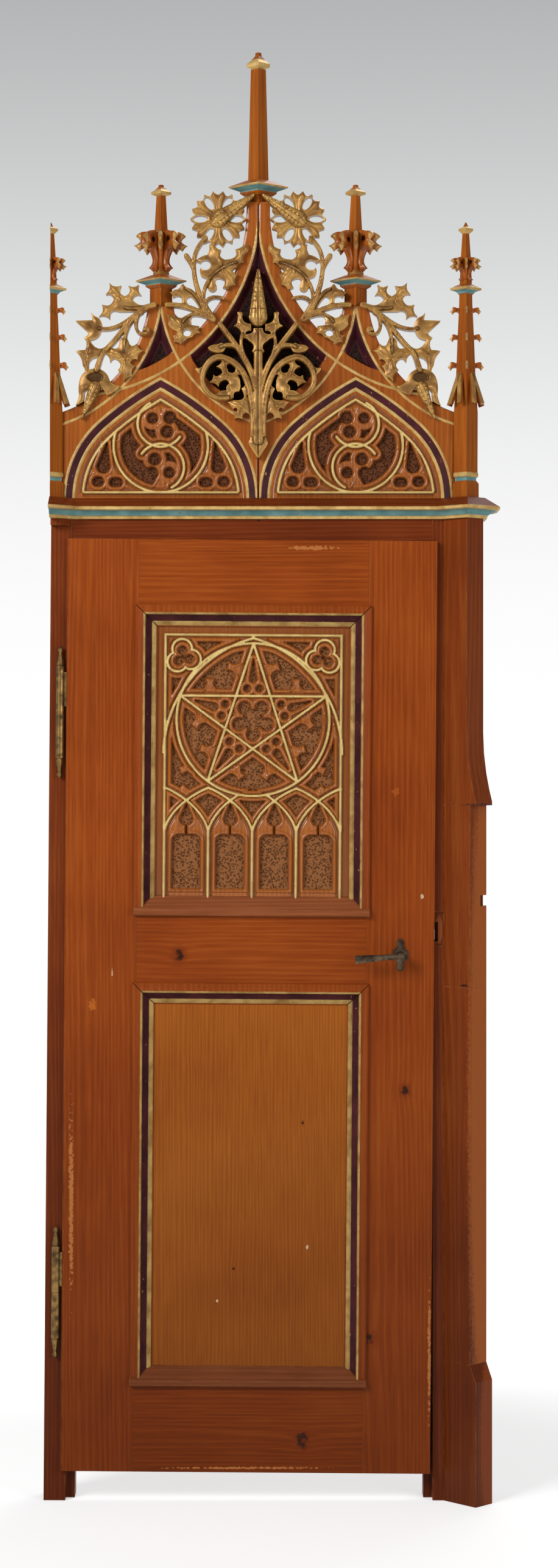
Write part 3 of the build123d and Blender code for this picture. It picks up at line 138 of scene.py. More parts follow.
@dataclass
class Layer:
    """What one finish gives the shader."""

    colour: Any
    roughness: Number = 0.5
    metallic: Number = 0.0
    height: Number = 0.0

    def covered(self, mask: Value, top: "Layer") -> "Layer":
        """This layer with another one over it where the mask is 1.

        Args:
            mask: where the other layer lies.
            top: the other layer.

        Returns:
            Both as one layer.
        """
        paint = mask.paint
        return Layer(
            paint.mix(mask, self.colour, top.colour),
            paint.between(mask, self.roughness, top.roughness),
            paint.between(mask, self.metallic, top.metallic),
            paint.between(mask, self.height, top.height),
        )


class Tree:
    """A node tree while it is being built."""

    tree: NodeTree

    def node(self, kind: str, settings: dict[str, Any], inputs: dict[Any, Any], output: Any = 0) -> Value:
        """Add a node.

        Args:
            kind: the node's type.
            settings: properties of the node; "stops" fills a colour ramp.
            inputs: socket name or number to a value, a colour or another socket.
            output: name or number of the socket that is handed back.

        Returns:
            The wrapped output socket.
        """
        made = self.tree.nodes.new(kind)
        for key, setting in settings.items():
            if key == "stops":
                self._fill(made.color_ramp, setting)
            else:
                setattr(made, key, setting)
        for key, given in inputs.items():
            socket = made.inputs[key]
            if isinstance(given, Value):
                self.tree.links.new(given.socket, socket)
            elif isinstance(given, tuple) and socket.type == "RGBA":
                socket.default_value = (*given, 1.0)
            else:
                socket.default_value = given
        return Value(self, made.outputs[output])

    @staticmethod
    def _fill(ramp: ColorRamp, stops: Sequence[tuple[float, Colour]]) -> None:
        """Give a colour ramp its stops.

        Args:
            ramp: the ramp to fill.
            stops: places along it with their colours.
        """
        while len(ramp.elements) < len(stops):
            ramp.elements.new(1.0)
        for element, (position, colour) in zip(ramp.elements, stops):
            element.position = position
            element.color = (*colour, 1.0)

    def several(self, kind: str, inputs: dict[Any, Any], *names: Any) -> tuple[Value, ...]:
        """Add a node and hand back several of its outputs."""
        outputs = self.node(kind, {}, inputs).socket.node.outputs
        return tuple(Value(self, outputs[name]) for name in names)

    def join(self, result: Value, kind: str) -> None:
        """Join a result to the tree's output."""
        self.tree.links.new(result.socket, self.tree.nodes.new(kind).inputs[0])


class Paint(Tree):
    """A material, or the surround, while it is being mixed."""

    def __init__(self, name: str, surround: World | None = None) -> None:
        """Start an empty material of that name, or an empty surround.

        Args:
            name: what the material is called.
            surround: a world to paint instead.
        """
        self.material = surround or bpy.data.materials.new(name)
        self.material.use_nodes = True
        self.tree = self.material.node_tree
        self.tree.nodes.clear()
        self.place = self.node("ShaderNodeTexCoord", {}, {}, "Generated" if surround else "Object")

    def axes(self, vector: Value | None = None) -> tuple[Value, ...]:
        """The three parts of a vector, or else of the coordinates."""
        return self.several("ShaderNodeSeparateXYZ", {"Vector": vector or self.place}, 0, 1, 2)

    def mapped(self, scale: Sequence[float], turn: float = 0.0,
               shift: Sequence[float] = (0.0, 0.0, 0.0)) -> Value:
        """Object coordinates stretched, turned about y and shifted."""
        inputs = {"Vector": self.place, "Location": shift, "Rotation": (0.0, turn, 0.0), "Scale": scale}
        return self.node("ShaderNodeMapping", {"vector_type": "POINT"}, inputs)

    def noise(self, scale: float, detail: float = 2.0, wobble: float = 0.0,
              vector: Value | None = None) -> Value:
        """Cloudy noise from 0 to 1, on the coordinates or another vector."""
        inputs = {"Vector": vector or self.place, "Scale": scale, "Detail": detail, "Distortion": wobble}
        return self.node("ShaderNodeTexNoise", {}, inputs)

    def ramp(self, value: Value, stops: Sequence[tuple[float, Colour]]) -> Value:
        """A colour along a ramp."""
        return self.node("ShaderNodeValToRGB", {"stops": stops}, {"Fac": value})

    def mix(self, mask: Number, first: Any, second: Any, blend: str = "MIX") -> Value:
        """The first colour, with the second laid over it where the mask is 1."""
        settings = {"data_type": "RGBA", "blend_type": blend, "clamp_factor": True}
        return self.node("ShaderNodeMix", settings, {0: mask, 6: first, 7: second}, 2)

    @staticmethod
    def between(mask: Value, first: Number, second: Number) -> Number:
        """The first number where the mask is 0 and the second where it is 1.

        Args:
            mask: share of the second number.
            first, second: the two numbers.

        Returns:
            The blended number.
        """
        if not isinstance(first, Value) and not isinstance(second, Value) and first == second:
            return first
        return mask * (second - first) + first

    def attribute(self, name: str) -> Value:
        """A number that the mesh carries."""
        return self.node("ShaderNodeAttribute", {"attribute_name": name}, {}, "Fac")

    def arris(self, radius: float) -> tuple[Value, Value]:
        """Rounded edges.

        Args:
            radius: of the rounding.

        Returns:
            The rounded normal, and a mask that is 1 on the edges.
        """
        rounded = self.node("ShaderNodeBevel", {"samples": 4}, {"Radius": radius})
        flat = self.node("ShaderNodeNewGeometry", {}, {}, "Normal")
        inputs = {0: rounded, 1: flat}
        along = self.node("ShaderNodeVectorMath", {"operation": "DOT_PRODUCT"}, inputs, "Value")
        return rounded, (1.0 - along).step(0.01, 0.18)

    def close(self, layer: Layer, normal: Value | None = None, depth: float = 0.0006,
              gleam: float = 0.1, coat: Number = 0.0) -> Material:
        """Join a layer to the shader.

        Args:
            layer: colours and the rest of the surface.
            normal: a rounded normal, where the piece has one.
            depth: how deep the layer's height goes.
            gleam: the shader's specular level.
            coat: where a coat of varnish lies on it.

        Returns:
            The finished material.
        """
        inputs: dict[Any, Any] = {
            "Base Color": layer.colour, "Roughness": layer.roughness, "Metallic": layer.metallic,
            "Specular IOR Level": gleam, "Coat Weight": coat, "Coat Roughness": 0.16,
        }
        if isinstance(layer.height, Value):
            relief: dict[Any, Any] = {"Height": layer.height, "Distance": depth}
            if normal is not None:
                relief["Normal"] = normal
            normal = self.node("ShaderNodeBump", {}, relief)
        if normal is not None:
            inputs["Normal"] = normal
        return self.end(self.node("ShaderNodeBsdfPrincipled", {}, inputs))

    def end(self, shader: Value, kind: str = "ShaderNodeOutputMaterial") -> Any:
        """Join a shader to the output, and hand back what was mixed."""
        self.join(shader, kind)
        return self.material


# Finishes

class Grain(Enum):
    """Which way a board's fibres run, as a stretch of its coordinates."""

    UPRIGHT = (1.0, 1.0, 0.04)
    LEVEL = (0.04, 1.0, 1.0)


@dataclass(frozen=True)
class Knot:
    """A knot in a board, by its place on the front."""

    x: float
    z: float
    radius: float


@dataclass(frozen=True)
class Mark:
    """A scuff or a stain on a board, by its place on the front."""

    x: float
    z: float
    half_width: float
    half_height: float
    colour: Colour
    ragged: float = 2.2


@dataclass(frozen=True)
class Pine:
    """Varnished pine with growth rings, fibres, knots, scuffs and rubbed edges."""

    name: str
    grain: Grain
    dark: Colour
    middle: Colour
    pale: Colour
    ring: float = 0.011
    polish: float = 0.36
    foot_shade: float = 0.0
    wear: float = 0.55
    worn: Colour = (0.48, 0.19, 0.05)
    knots: tuple[Knot, ...] = ()
    marks: tuple[Mark, ...] = ()
    knot_heart: Colour = (0.035, 0.01, 0.004)
    foot_tint: Colour = (0.25, 0.2, 0.2)
    foot_reach: float = 1.5
    mark_strength: float = 0.85
    mark_depth: Place = (0.014, 0.017)

    def layer(self, paint: Paint) -> Layer:
        """The wood's colours before its edges are rubbed.

        Args:
            paint: the material that is being painted.

        Returns:
            The wood as a layer.
        """
        x, y, z = paint.axes()
        fibres = paint.mapped(self.grain.value)
        drift = paint.noise(9.0, vector=fibres)
        across = x if self.grain is Grain.UPRIGHT else z
        rings = across * (1.0 / self.ring) + drift * 9.0 + y * 30.0
        spots = []
        for knot in self.knots:
            off = ((x - knot.x) * (x - knot.x) + (z - knot.z) * (z - knot.z) * 0.7).root()
            rings = rings + 1.6 * knot.radius / (off + knot.radius)
            spots.append((off, knot.radius))
        late = ((rings * math.tau).sine() * 0.5 + 0.5) ** 2.0
        streak = paint.noise(260.0, 3.0, vector=fibres)
        cloud = paint.noise(3.2, 3.0)
        tone = late * 0.13 + streak * 0.44 + cloud * 0.62 - 0.1
        colour = paint.ramp(tone, ((0.18, self.dark), (0.5, self.middle), (0.82, self.pale)))
        if self.foot_shade:
            shade = (1.0 - z.step(0.0, self.foot_reach)) * self.foot_shade
            colour = paint.mix(shade, colour, self.foot_tint, "MULTIPLY")
        for off, radius in spots:
            halo = 1.0 - off.step(radius * 0.8, radius * 2.3)
            colour = paint.mix(halo * 0.6, colour, self.dark)
            rough = paint.noise(110.0, 3.0)
            heart = 1.0 - (off + (rough - 0.5) * 1.4 * radius).step(radius * 0.5, radius * 1.1)
            colour = paint.mix(heart * (1.0 - rough.step(0.52, 0.66) * 0.6), colour, self.knot_heart)
        front = self.mark_strength - y.step(*self.mark_depth) * self.mark_strength
        for mark in self.marks:
            wide, high = (x - mark.x) / mark.half_width, (z - mark.z) / mark.half_height
            rough = paint.noise(150.0, 3.0)
            reach = (wide * wide + high * high).root() + (rough - 0.5) * mark.ragged
            colour = paint.mix((1.0 - reach.step(0.55, 0.8)) * front, colour, mark.colour)
        return Layer(colour, streak * 0.22 + (self.polish - 0.11), 0.0, streak * 0.4 + late * 0.25)

    def rubbed(self, paint: Paint, layer: Layer, edge: Value) -> Layer:
        """A layer with bare wood showing along the edges.

        Args:
            paint: the material that is being painted.
            layer: what is rubbed.
            edge: mask of the edges.

        Returns:
            The rubbed layer.
        """
        patchy = paint.noise(38.0, 4.0).step(0.36, 0.66)
        mask = edge * patchy * self.wear
        return layer.covered(mask, Layer(self.worn, 0.55, 0.0, layer.height))

    @cache
    def material(self) -> Material:
        """The wood as a material.

        Returns:
            The finished material.
        """
        paint = Paint(self.name)
        normal, edge = paint.arris(0.0022)
        return paint.close(self.rubbed(paint, self.layer(paint), edge), normal)


@dataclass(frozen=True)
class Gilt:
    """Old gilding, dulled in patches, with sooty specks, and brown in its hollows as painted shade."""

    name: str
    bright: Colour = (0.72, 0.49, 0.18)
    dull: Colour = (0.48, 0.28, 0.085)
    soot_and_shade: Colour = (0.1, 0.045, 0.015)
    metal: float = 0.3
    polish: float = 0.4

    def layer(self, paint: Paint, hollow: Number = 0.0) -> Layer:
        """The gilding, with sooty specks, and painted shade where hollow is 1.

        Args:
            paint: the material that is being painted.
            hollow: mask of the hollows, where shade is painted.

        Returns:
            The gilding as a layer.
        """
        patches = paint.noise(34.0, 4.0, 0.4)
        colour = paint.ramp(patches, ((0.34, self.dull), (0.62, self.bright)))
        specks = paint.noise(190.0, 3.0).step(0.62, 0.75) * 0.5
        colour = paint.mix(specks, colour, self.soot_and_shade)
        # painted shade: the hollows darken to the dark soot colour
        if isinstance(hollow, Value):
            colour = paint.mix(hollow, colour, self.soot_and_shade)
        return Layer(colour, patches * 0.3 + (self.polish - 0.12), self.metal, patches * 0.5)


@dataclass(frozen=True)
class Paintwork:
    """Thin old oil paint over wood, chipped here and there."""

    name: str
    colour: Colour
    faded: Colour
    chip: Colour = (0.42, 0.17, 0.06)
    polish: float = 0.45

    def layer(self, paint: Paint) -> Layer:
        """The paint with its chips.

        Args:
            paint: the material that is being painted.

        Returns:
            The paint as a layer.
        """
        fade = paint.noise(26.0, 4.0)
        colour = paint.ramp(fade, ((0.32, self.colour), (0.72, self.faded)))
        chips = paint.noise(120.0, 3.0).step(0.68, 0.74)
        return Layer(paint.mix(chips, colour, self.chip), self.polish, 0.0, fade * 0.5)


@dataclass(frozen=True)
class Metal:
    """Handled metal with tarnish in patches."""

    name: str
    bright: Colour
    tarnish: Colour
    polish: float
    metal: float = 0.85
    spread: float = 0.5

    @cache
    def material(self) -> Material:
        """The metal as a material.

        Returns:
            The finished material.
        """
        paint = Paint(self.name)
        normal, edge = paint.arris(0.0008)
        stain = paint.noise(70.0, 4.0, 0.3)
        mask = stain.step(self.spread - 0.24, self.spread + 0.24)
        colour = paint.mix(mask, self.bright, self.tarnish)
        colour = paint.mix(edge * 0.5, colour, self.bright)
        fine = paint.noise(600.0, 2.0)
        layer = Layer(colour, mask * 0.22 + self.polish, self.metal, fine * 0.3 + stain * 0.3)
        return paint.close(layer, normal, 0.0002, 0.5)


class Side(Enum):
    """Which half of the cresting a piece belongs to."""

    LEFT = "left"
    RIGHT = "right"

    @property
    def turn(self) -> float:
        """1 on the left, as both halves are drawn, and -1 on the right."""
        return 1.0 if self is Side.LEFT else -1.0


class Trim(Enum):
    """What a member of a moulding is finished with."""

    WOOD = "wood"
    GOLD = "gold"
    DULL = "dull gold"
    PURPLE = "purple"
    TEAL = "teal"


GILDING = Gilt("worn_gilding")
LINING = Gilt("lining_gilding", (0.74, 0.55, 0.21), (0.6, 0.41, 0.14), (0.3, 0.15, 0.05), 0.0, 0.5)
DULLED = Gilt("dulled_gilding", (0.46, 0.3, 0.1), (0.26, 0.145, 0.042))
PURPLE = Paintwork("purple_paint", (0.036, 0.008, 0.011), (0.082, 0.017, 0.021))
TEAL = Paintwork("teal_paint", (0.1, 0.24, 0.24), (0.215, 0.41, 0.39), (0.3, 0.13, 0.05), 0.55)
COATS = {Trim.GOLD: GILDING, Trim.DULL: DULLED, Trim.PURPLE: PURPLE, Trim.TEAL: TEAL}
Bands = tuple[tuple[float, Trim], ...]


@dataclass(frozen=True)
class Banded:
    """A moulding whose members are painted in turn, each from its start onwards."""

    name: str
    wood: Pine
    bands: Bands
    soft: float = 0.0006
    wobble: float = 0.0014
    gap: Place = (0.0004, 0.0014)

    def material(self, measure: Callable[[Paint], tuple[Value, Value | None]]) -> Material:
        """The moulding's material.

        Args:
            measure: gives the distance that the bands' starts are on, and the distance from an open joint.

        Returns:
            The finished material.
        """
        paint = Paint(self.name)
        along, mitre = measure(paint)
        along = along + (paint.noise(60.0) - 0.5) * self.wobble
        normal, edge = paint.arris(0.0016)
        trims = dict.fromkeys(trim for _, trim in self.bands)
        coats = {trim: COATS.get(trim, self.wood).layer(paint) for trim in trims}
        layer = coats[self.bands[0][1]]
        for start, trim in self.bands[1:]:
            layer = layer.covered(along.step(start - self.soft, start + self.soft), coats[trim])
        layer = self.wood.rubbed(paint, layer, edge)
        if mitre is not None:
            joint = (1.0 - mitre.size().step(*self.gap)) * 0.9
            layer = layer.covered(joint, Layer(self.wood.knot_heart, 0.8, 0.0, layer.height))
        return paint.close(layer, normal)


# Woods and metals

LEAF_DARK, LEAF_MIDDLE, LEAF_PALE = (0.16, 0.026, 0.003), (0.285, 0.054, 0.006), (0.385, 0.094, 0.012)
STILE = Pine("stile_pine", Grain.UPRIGHT, LEAF_DARK, LEAF_MIDDLE, LEAF_PALE, foot_shade=0.5)
RAIL = Pine("rail_pine", Grain.LEVEL, LEAF_DARK, LEAF_MIDDLE, LEAF_PALE, foot_shade=0.55, wear=1.4,
            worn=(0.03, 0.008, 0.003))
JAMB = Pine("jamb_pine", Grain.UPRIGHT, (0.085, 0.014, 0.003), (0.165, 0.03, 0.005), (0.25, 0.058, 0.011),
            foot_shade=0.45, wear=0.9)
POST = Pine("post_pine", Grain.UPRIGHT, (0.115, 0.02, 0.003), (0.205, 0.039, 0.006), (0.3, 0.075, 0.013),
            foot_shade=0.55, wear=0.85)
FRIEZE = Pine("frieze_pine", Grain.LEVEL, (0.095, 0.015, 0.003), (0.165, 0.029, 0.005),
              (0.25, 0.055, 0.01))
FIELD = Pine("field_pine", Grain.UPRIGHT, (0.235, 0.052, 0.006), (0.365, 0.1, 0.011),
             (0.47, 0.152, 0.022), ring=0.007, foot_shade=0.52)
SPIRE = Pine("spire_pine", Grain.UPRIGHT, (0.22, 0.046, 0.006), (0.37, 0.098, 0.011), (0.5, 0.15, 0.02),
             wear=0.8)
CREST = Pine("crest_pine", Grain.UPRIGHT, (0.2, 0.042, 0.006), (0.34, 0.088, 0.011), (0.46, 0.14, 0.02),
             wear=0.8)
BRASS = Metal("aged_brass", (0.33, 0.195, 0.062), (0.07, 0.042, 0.017), 0.32, 0.9, 0.5)
BRONZE = Metal("dark_bronze", (0.19, 0.125, 0.075), (0.035, 0.022, 0.015), 0.3, 0.85, 0.44)
STEEL = Metal("lock_steel", (0.34, 0.32, 0.3), (0.07, 0.055, 0.045), 0.38, 0.9, 0.55)

BARE, CHIP, DIRT = (0.46, 0.16, 0.045), (0.62, 0.46, 0.3), (0.03, 0.01, 0.005)
STAIN = (0.058, 0.014, 0.017)
HINGE_STILE = replace(STILE, name="hinge_stile_pine", marks=(
    Mark(-0.375, 1.019, 0.01, 0.016, (0.46, 0.12, 0.016)), Mark(-0.334, 1.085, 0.0016, 0.012, CHIP),
    Mark(-0.418, 0.62, 0.006, 0.22, BARE),
))
LOCK_STILE = replace(
    STILE, name="lock_stile_pine", knots=(Knot(0.265, 0.844, 0.0085), Knot(0.189, 0.335, 0.0115)),
    marks=(Mark(0.246, 1.456, 0.009, 0.013, (0.36, 0.08, 0.01)), Mark(0.3, 1.24, 0.004, 0.01, CHIP),
           Mark(0.315, 0.3, 0.004, 0.16, BARE)),
)
TOP_RAIL = replace(RAIL, name="top_rail_pine", marks=(Mark(0.072, 1.955, 0.06, 0.006, BARE),))
LOCK_RAIL = replace(RAIL, name="lock_rail_pine", knots=(Knot(-0.1975, 1.121, 0.01),))
BOTTOM_RAIL = replace(RAIL, name="bottom_rail_pine", knots=(Knot(0.055, 0.126, 0.015),),
                      marks=(Mark(-0.06, 0.07, 0.2, 0.003, BARE),))
SILL = replace(RAIL, name="sill_pine", dark=(0.17, 0.042, 0.012), middle=(0.27, 0.078, 0.026),
               pale=(0.38, 0.13, 0.05), wear=0.9, worn=(0.48, 0.19, 0.05))
RIGHT_JAMB = replace(JAMB, name="right_jamb_pine",
                     marks=(Mark(0.336, 1.172, 0.011, 0.04, (0.33, 0.085, 0.024), 0.3),))
PLINTH = replace(POST, name="plinth_pine",
                 marks=(Mark(0.44, 0.14, 0.034, 0.26, (0.24, 0.05, 0.01), 0.25),))
LOWER_FIELD = replace(FIELD, name="lower_field_pine",
                      knots=(Knot(-0.086, 0.476, 0.003), Knot(0.056, 0.775, 0.003)),
                      marks=(Mark(0.066, 0.519, 0.004, 0.006, CHIP), Mark(-0.12, 0.41, 0.003, 0.004, CHIP)))
UPPER_POST = replace(POST, name="upper_post_pine", marks=(Mark(0.42, 1.4285, 0.06, 0.0045, STAIN),))
LOWER_POST = replace(POST, name="lower_post_pine", worn=(0.55, 0.22, 0.07), marks=(
    Mark(0.436, 0.82, 0.062, 1.1, (0.4, 0.105, 0.02), 0.25), Mark(0.385, 1.06, 0.01, 0.004, DIRT),
))
HEAD = replace(FRIEZE, name="head_pine", marks=(
    Mark(-0.034, 2.0125, 0.006, 0.003, DIRT), Mark(-0.43, 1.99, 0.02, 0.008, STAIN),
))


# Places

@dataclass(frozen=True)
class Hang:
    """How the left jamb and the leaf hang out of plumb, read from the leaf's hinge."""

    lean: float
    pivot_x: float
    pivot_z: float

    @classmethod
    def read(cls, frame: dict[str, Any]) -> "Hang":
        """Read the lean from the joint and the pivot from the cornice's foot.


        Returns:
            The lean with its pivot.
        """
        axis = next(joint for joint in frame["joints"] if joint["name"] == "leaf_swing")["axis"]
        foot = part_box("cornice")[0]
        return cls(math.atan(axis[0] / axis[2]), foot.x, foot.z)

    def matrix(self) -> Matrix:
        """From plumb places to hung ones."""
        pivot = Matrix.Translation((self.pivot_x, 0.0, self.pivot_z))
        return pivot @ Matrix.Rotation(self.lean, 4, "Y") @ pivot.inverted()

    def plumb(self, paint: Paint) -> Value:
        """Object coordinates as they are before the piece is hung."""
        shift = self.matrix().inverted().translation
        return paint.mapped((1.0, 1.0, 1.0), -self.lean, tuple(shift))

    def box(self, node: Object) -> tuple[Vector, Vector]:
        """Lowest and highest corner of a hung piece before it is hung.

        Args:
            node: the hung piece.

        Returns:
            Both corners.
        """
        back = self.matrix().inverted()
        places = np.array([back @ vertex.co for vertex in node.data.vertices])
        return Vector(places.min(0)), Vector(places.max(0))


# Carving

def polar(bearing: float, reach: float, centre: Place = (0.0, 0.0)) -> Place:
    """A place at a bearing in degrees from the x axis."""
    turn = math.radians(bearing)
    return (centre[0] + reach * math.cos(turn), centre[1] + reach * math.sin(turn))


def segment(x: Field, z: Field, a: Place, b: Place) -> Field:
    """Distance from a straight line between two places.

    Args:
        x, z: places across and up.
        a, b: the line's ends.

    Returns:
        The distance at each place.
    """
    dx, dz = b[0] - a[0], b[1] - a[1]
    along = np.clip(((x - a[0]) * dx + (z - a[1]) * dz) / max(dx * dx + dz * dz, 1e-12), 0.0, 1.0)
    return np.hypot(x - a[0] - along * dx, z - a[1] - along * dz)


def disc(x: Field, z: Field, centre: Place, radius: float) -> Field:
    """Distance from a disc's edge, less than zero inside."""
    return np.hypot(x - centre[0], z - centre[1]) - radius


def arc(x: Field, z: Field, centre: Place, radius: float, first: float, last: float) -> Field:
    """Distance from an arc that runs anticlockwise between two bearings in degrees.

    Args:
        x, z: places across and up.
        centre, radius: the circle it is part of.
        first, last: the two bearings.

    Returns:
        The distance at each place.
    """
    bearing = np.degrees(np.arctan2(z - centre[1], x - centre[0]))
    off = np.abs((bearing - (first + last) / 2 + 180.0) % 360.0 - 180.0)
    tips = (polar(first, radius, centre), polar(last, radius, centre))
    ends = [np.hypot(x - tip[0], z - tip[1]) for tip in tips]
    return np.where(off <= (last - first) / 2, np.abs(disc(x, z, centre, radius)), np.minimum(*ends))


def bezier(bends: Sequence[Place], steps: int = 14) -> list[Place]:
    """Places along a curve through its first and last of four bends.

    Args:
        bends: the four bends.
        steps: how many places are wanted.

    Returns:
        The places in order.
    """
    share = np.linspace(0.0, 1.0, steps)[:, None]
    weights = ((1 - share) ** 3, 3 * share * (1 - share) ** 2, 3 * share ** 2 * (1 - share), share ** 3)
    line = sum(weight * np.array([bend]) for weight, bend in zip(weights, bends))
    return [tuple(place) for place in line]


def melt(first: Field, second: Field, soft: float) -> Field:
    """The smaller of two distances, with a rounded joint between them."""
    blend = np.clip(0.5 + (second - first) / (2 * soft), 0.0, 1.0)
    return second + (first - second) * blend - soft * blend * (1 - blend)


def ease(value: Field, low: float, high: float) -> Field:
    """A smooth step from 0 at low to 1 at high."""
    share = np.clip((value - low) / (high - low), 0.0, 1.0)
    return share * share * (3 - 2 * share)


def limb(x: Field, z: Field, root: Place, tip: Place, foot: float, waist: float, head: float) -> Field:
    """Distance from a limb that narrows from its foot to a waist and splays again to its head.

    Args:
        x: places across.
        z: places up.
        root: middle of the foot.
        tip: middle of the head.
        foot: half width at the root.
        waist: half width where it is thinnest.
        head: half width at the tip.

    Returns:
        The distance, less than zero inside.
    """
    dx, dz = tip[0] - root[0], tip[1] - root[1]
    length = math.hypot(dx, dz)
    along = ((x - root[0]) * dx + (z - root[1]) * dz) / length
    across = np.abs((x - root[0]) * dz - (z - root[1]) * dx) / length
    share = np.clip(along / length, 0.0, 1.0)
    half = waist + (foot - waist) * np.clip(1 - share / 0.95, 0, 1) ** 2.3
    half = half + (head - waist) * np.clip((share - 0.62) / 0.38, 0, 1) ** 1.6
    return np.maximum(across - half, np.maximum(along - length, -along))


@dataclass
class Carving:
    """Heights of a carved board and what its surface is, at a set of places.

    Attributes:
        edge: distance from the board's outline, less than zero inside.
        height: how far the surface stands in front of the board's face.
        marks: numbers that the finish reads, by name.
        lines: distances whose zero lines the mesh follows.
    """

    edge: Field
    height: Field
    marks: dict[str, Field]
    lines: tuple[Field, ...] = ()


Carver = Callable[[Field, Field], Carving]


@dataclass
class CarvedBoard:
    """A board cut to an outline, carved on its front and flat at its back, or carved on both."""

    name: str
    carver: Carver
    low: Place
    high: Place
    face: float
    back: float
    pitch: float = 0.0016
    both: bool = False
    border: tuple[Vector, Vector] | None = None
    slack_share: float = 0.03
    rear_shade: float = 0.44

    def build(self, place: Matrix, material: Material) -> Object:
        """Make the board.

        Args:
            place: from the drawing's x, depth and z to the frame.
            material: what the board is finished with.

        Returns:
            The object, at the origin with its place in its mesh.
        """
        points, faces = self._grid()
        slack = self.slack_share * self.pitch
        edge = self.carver(points[:, 0], points[:, 1]).edge
        points, faces, inside = self._split(points, faces, edge, slack)
        points, faces = self._tidy(points, faces[inside])
        for line in range(len(self.carver(points[:1, 0], points[:1, 1]).lines)):
            level = self.carver(points[:, 0], points[:, 1]).lines[line]
            points, faces, _ = self._split(points, faces, level, slack)
        return self._close(points, faces, place, material)

    def _grid(self) -> tuple[Field, Field]:
        """A net of triangles over the board's box.

        Returns:
            The net's points, and its triangles as numbers of points.
        """
        across, up = (np.linspace(low, high, round((high - low) / self.pitch) + 1)
                      for low, high in zip(self.low, self.high))
        if self.border:
            low, high = self.border
            across, up = np.array([low.x, *across, high.x]), np.array([low.z, *up, high.z])
        x, z = np.meshgrid(across, up)
        count = len(across)
        first = (np.arange(len(up) - 1)[:, None] * count + np.arange(count - 1)[None, :]).ravel()
        quads = np.stack((first, first + 1, first + count + 1, first + count), 1)
        odd = (first // count + first % count) % 2 == 1
        one = np.where(odd[:, None], quads[:, (0, 1, 2)], quads[:, (0, 1, 3)])
        two = np.where(odd[:, None], quads[:, (0, 2, 3)], quads[:, (1, 2, 3)])
        return np.stack((x.ravel(), z.ravel()), 1), np.concatenate((one, two))

    @staticmethod
    def _split(points: Field, faces: Field, level: Field, slack: float) -> tuple[Field, Field, Field]:
        """Cut the triangles that a zero line crosses.

        Args:
            points: places, one to a row.
            faces: corners of the triangles.
            level: a number at each place.
            slack: numbers nearer to zero than this are raised to it.

        Returns:
            Places, triangles, and which triangles lie where the number is less than zero.
        """
        level = np.where(np.abs(level) < slack, slack, level)
        below = level < 0
        count = below[faces].sum(1)
        whole, mixed = faces[(count == 0) | (count == 3)], faces[(count == 1) | (count == 2)]
        if not len(mixed):
            return points, faces, count == 3
        lone = np.where((below[mixed].sum(1) == 1)[:, None], below[mixed], ~below[mixed]).argmax(1)
        rows = np.arange(len(mixed))
        a, b, c = (mixed[rows, (lone + turn) % 3] for turn in range(3))
        pairs = np.sort(np.stack((np.concatenate((a, a)), np.concatenate((b, c))), 1), 1)
        cut, back = np.unique(pairs, axis=0, return_inverse=True)
        share = level[cut[:, 0]] / (level[cut[:, 0]] - level[cut[:, 1]])
        new = points[cut[:, 0]] + share[:, None] * (points[cut[:, 1]] - points[cut[:, 0]])
        back = back.ravel() + len(points)
        ab, ac = back[: len(a)], back[len(a):]
        made = np.concatenate((np.stack((a, ab, ac), 1), np.stack((ab, b, c), 1), np.stack((ab, c, ac), 1)))
        side = np.concatenate((below[a], ~below[a], ~below[a]))
        faces = np.concatenate((whole, made))
        return np.concatenate((points, new)), faces, np.concatenate((below[whole[:, 0]], side))

    @staticmethod
    def _tidy(points: Field, faces: Field) -> tuple[Field, Field]:
        """Drop the places that no triangle uses."""
        used, back = np.unique(faces.ravel(), return_inverse=True)
        return points[used], back.reshape(-1, 3)

    def _close(self, points: Field, faces: Field, place: Matrix,
               material: Material) -> Object:
        """Raise the front, and add the board's edges and its back.

        Args:
            points: places on the drawing.
            faces: triangles of the front.
            place: from the drawing to the frame.
            material: the board's finish.

        Returns:
            The finished object.
        """
        carving = self.carver(points[:, 0], points[:, 1])
        sides = faces[:, ((0, 1), (1, 2), (2, 0))].reshape(-1, 2)
        _, back, uses = np.unique(np.sort(sides, 1), axis=0, return_inverse=True, return_counts=True)
        rim = sides[uses[back.ravel()] == 1]
        rim_points = np.arange(len(points)) if self.both else np.unique(rim.ravel())
        behind = np.full(len(points), -1)
        behind[rim_points] = len(points) + np.arange(len(rim_points))
        walls = np.concatenate((
            np.stack((rim[:, 1], rim[:, 0], behind[rim[:, 0]]), 1),
            np.stack((rim[:, 1], behind[rim[:, 0]], behind[rim[:, 1]]), 1),
        ))
        cap = faces[:, ::-1] if self.both else self._cap(points, rim)
        depth = self.back + (carving.height if self.both else np.zeros(len(points)))
        front = np.stack((points[:, 0], self.face - carving.height, points[:, 1]), 1)
        rear = np.stack((points[rim_points, 0], depth[rim_points], points[rim_points, 1]), 1)
        verts = np.concatenate((front, rear))
        turn = np.array(place)
        verts = verts @ turn[:3, :3].T + turn[:3, 3]
        mesh = plain_mesh(self.name, verts, np.concatenate((faces, walls, behind[cap])))
        for name, mark in carving.marks.items():
            # the back and the walls carry the hollow mark at the rear value, which paints shade on them
            plain = np.full(len(rim_points), self.rear_shade if name == "hollow" else 1.0)
            values = np.concatenate((mark, mark[rim_points] if self.both else plain))
            leave_marks(mesh, {name: values.astype(np.float32)})
        return finished(mesh, material, CARVED_CREASE)

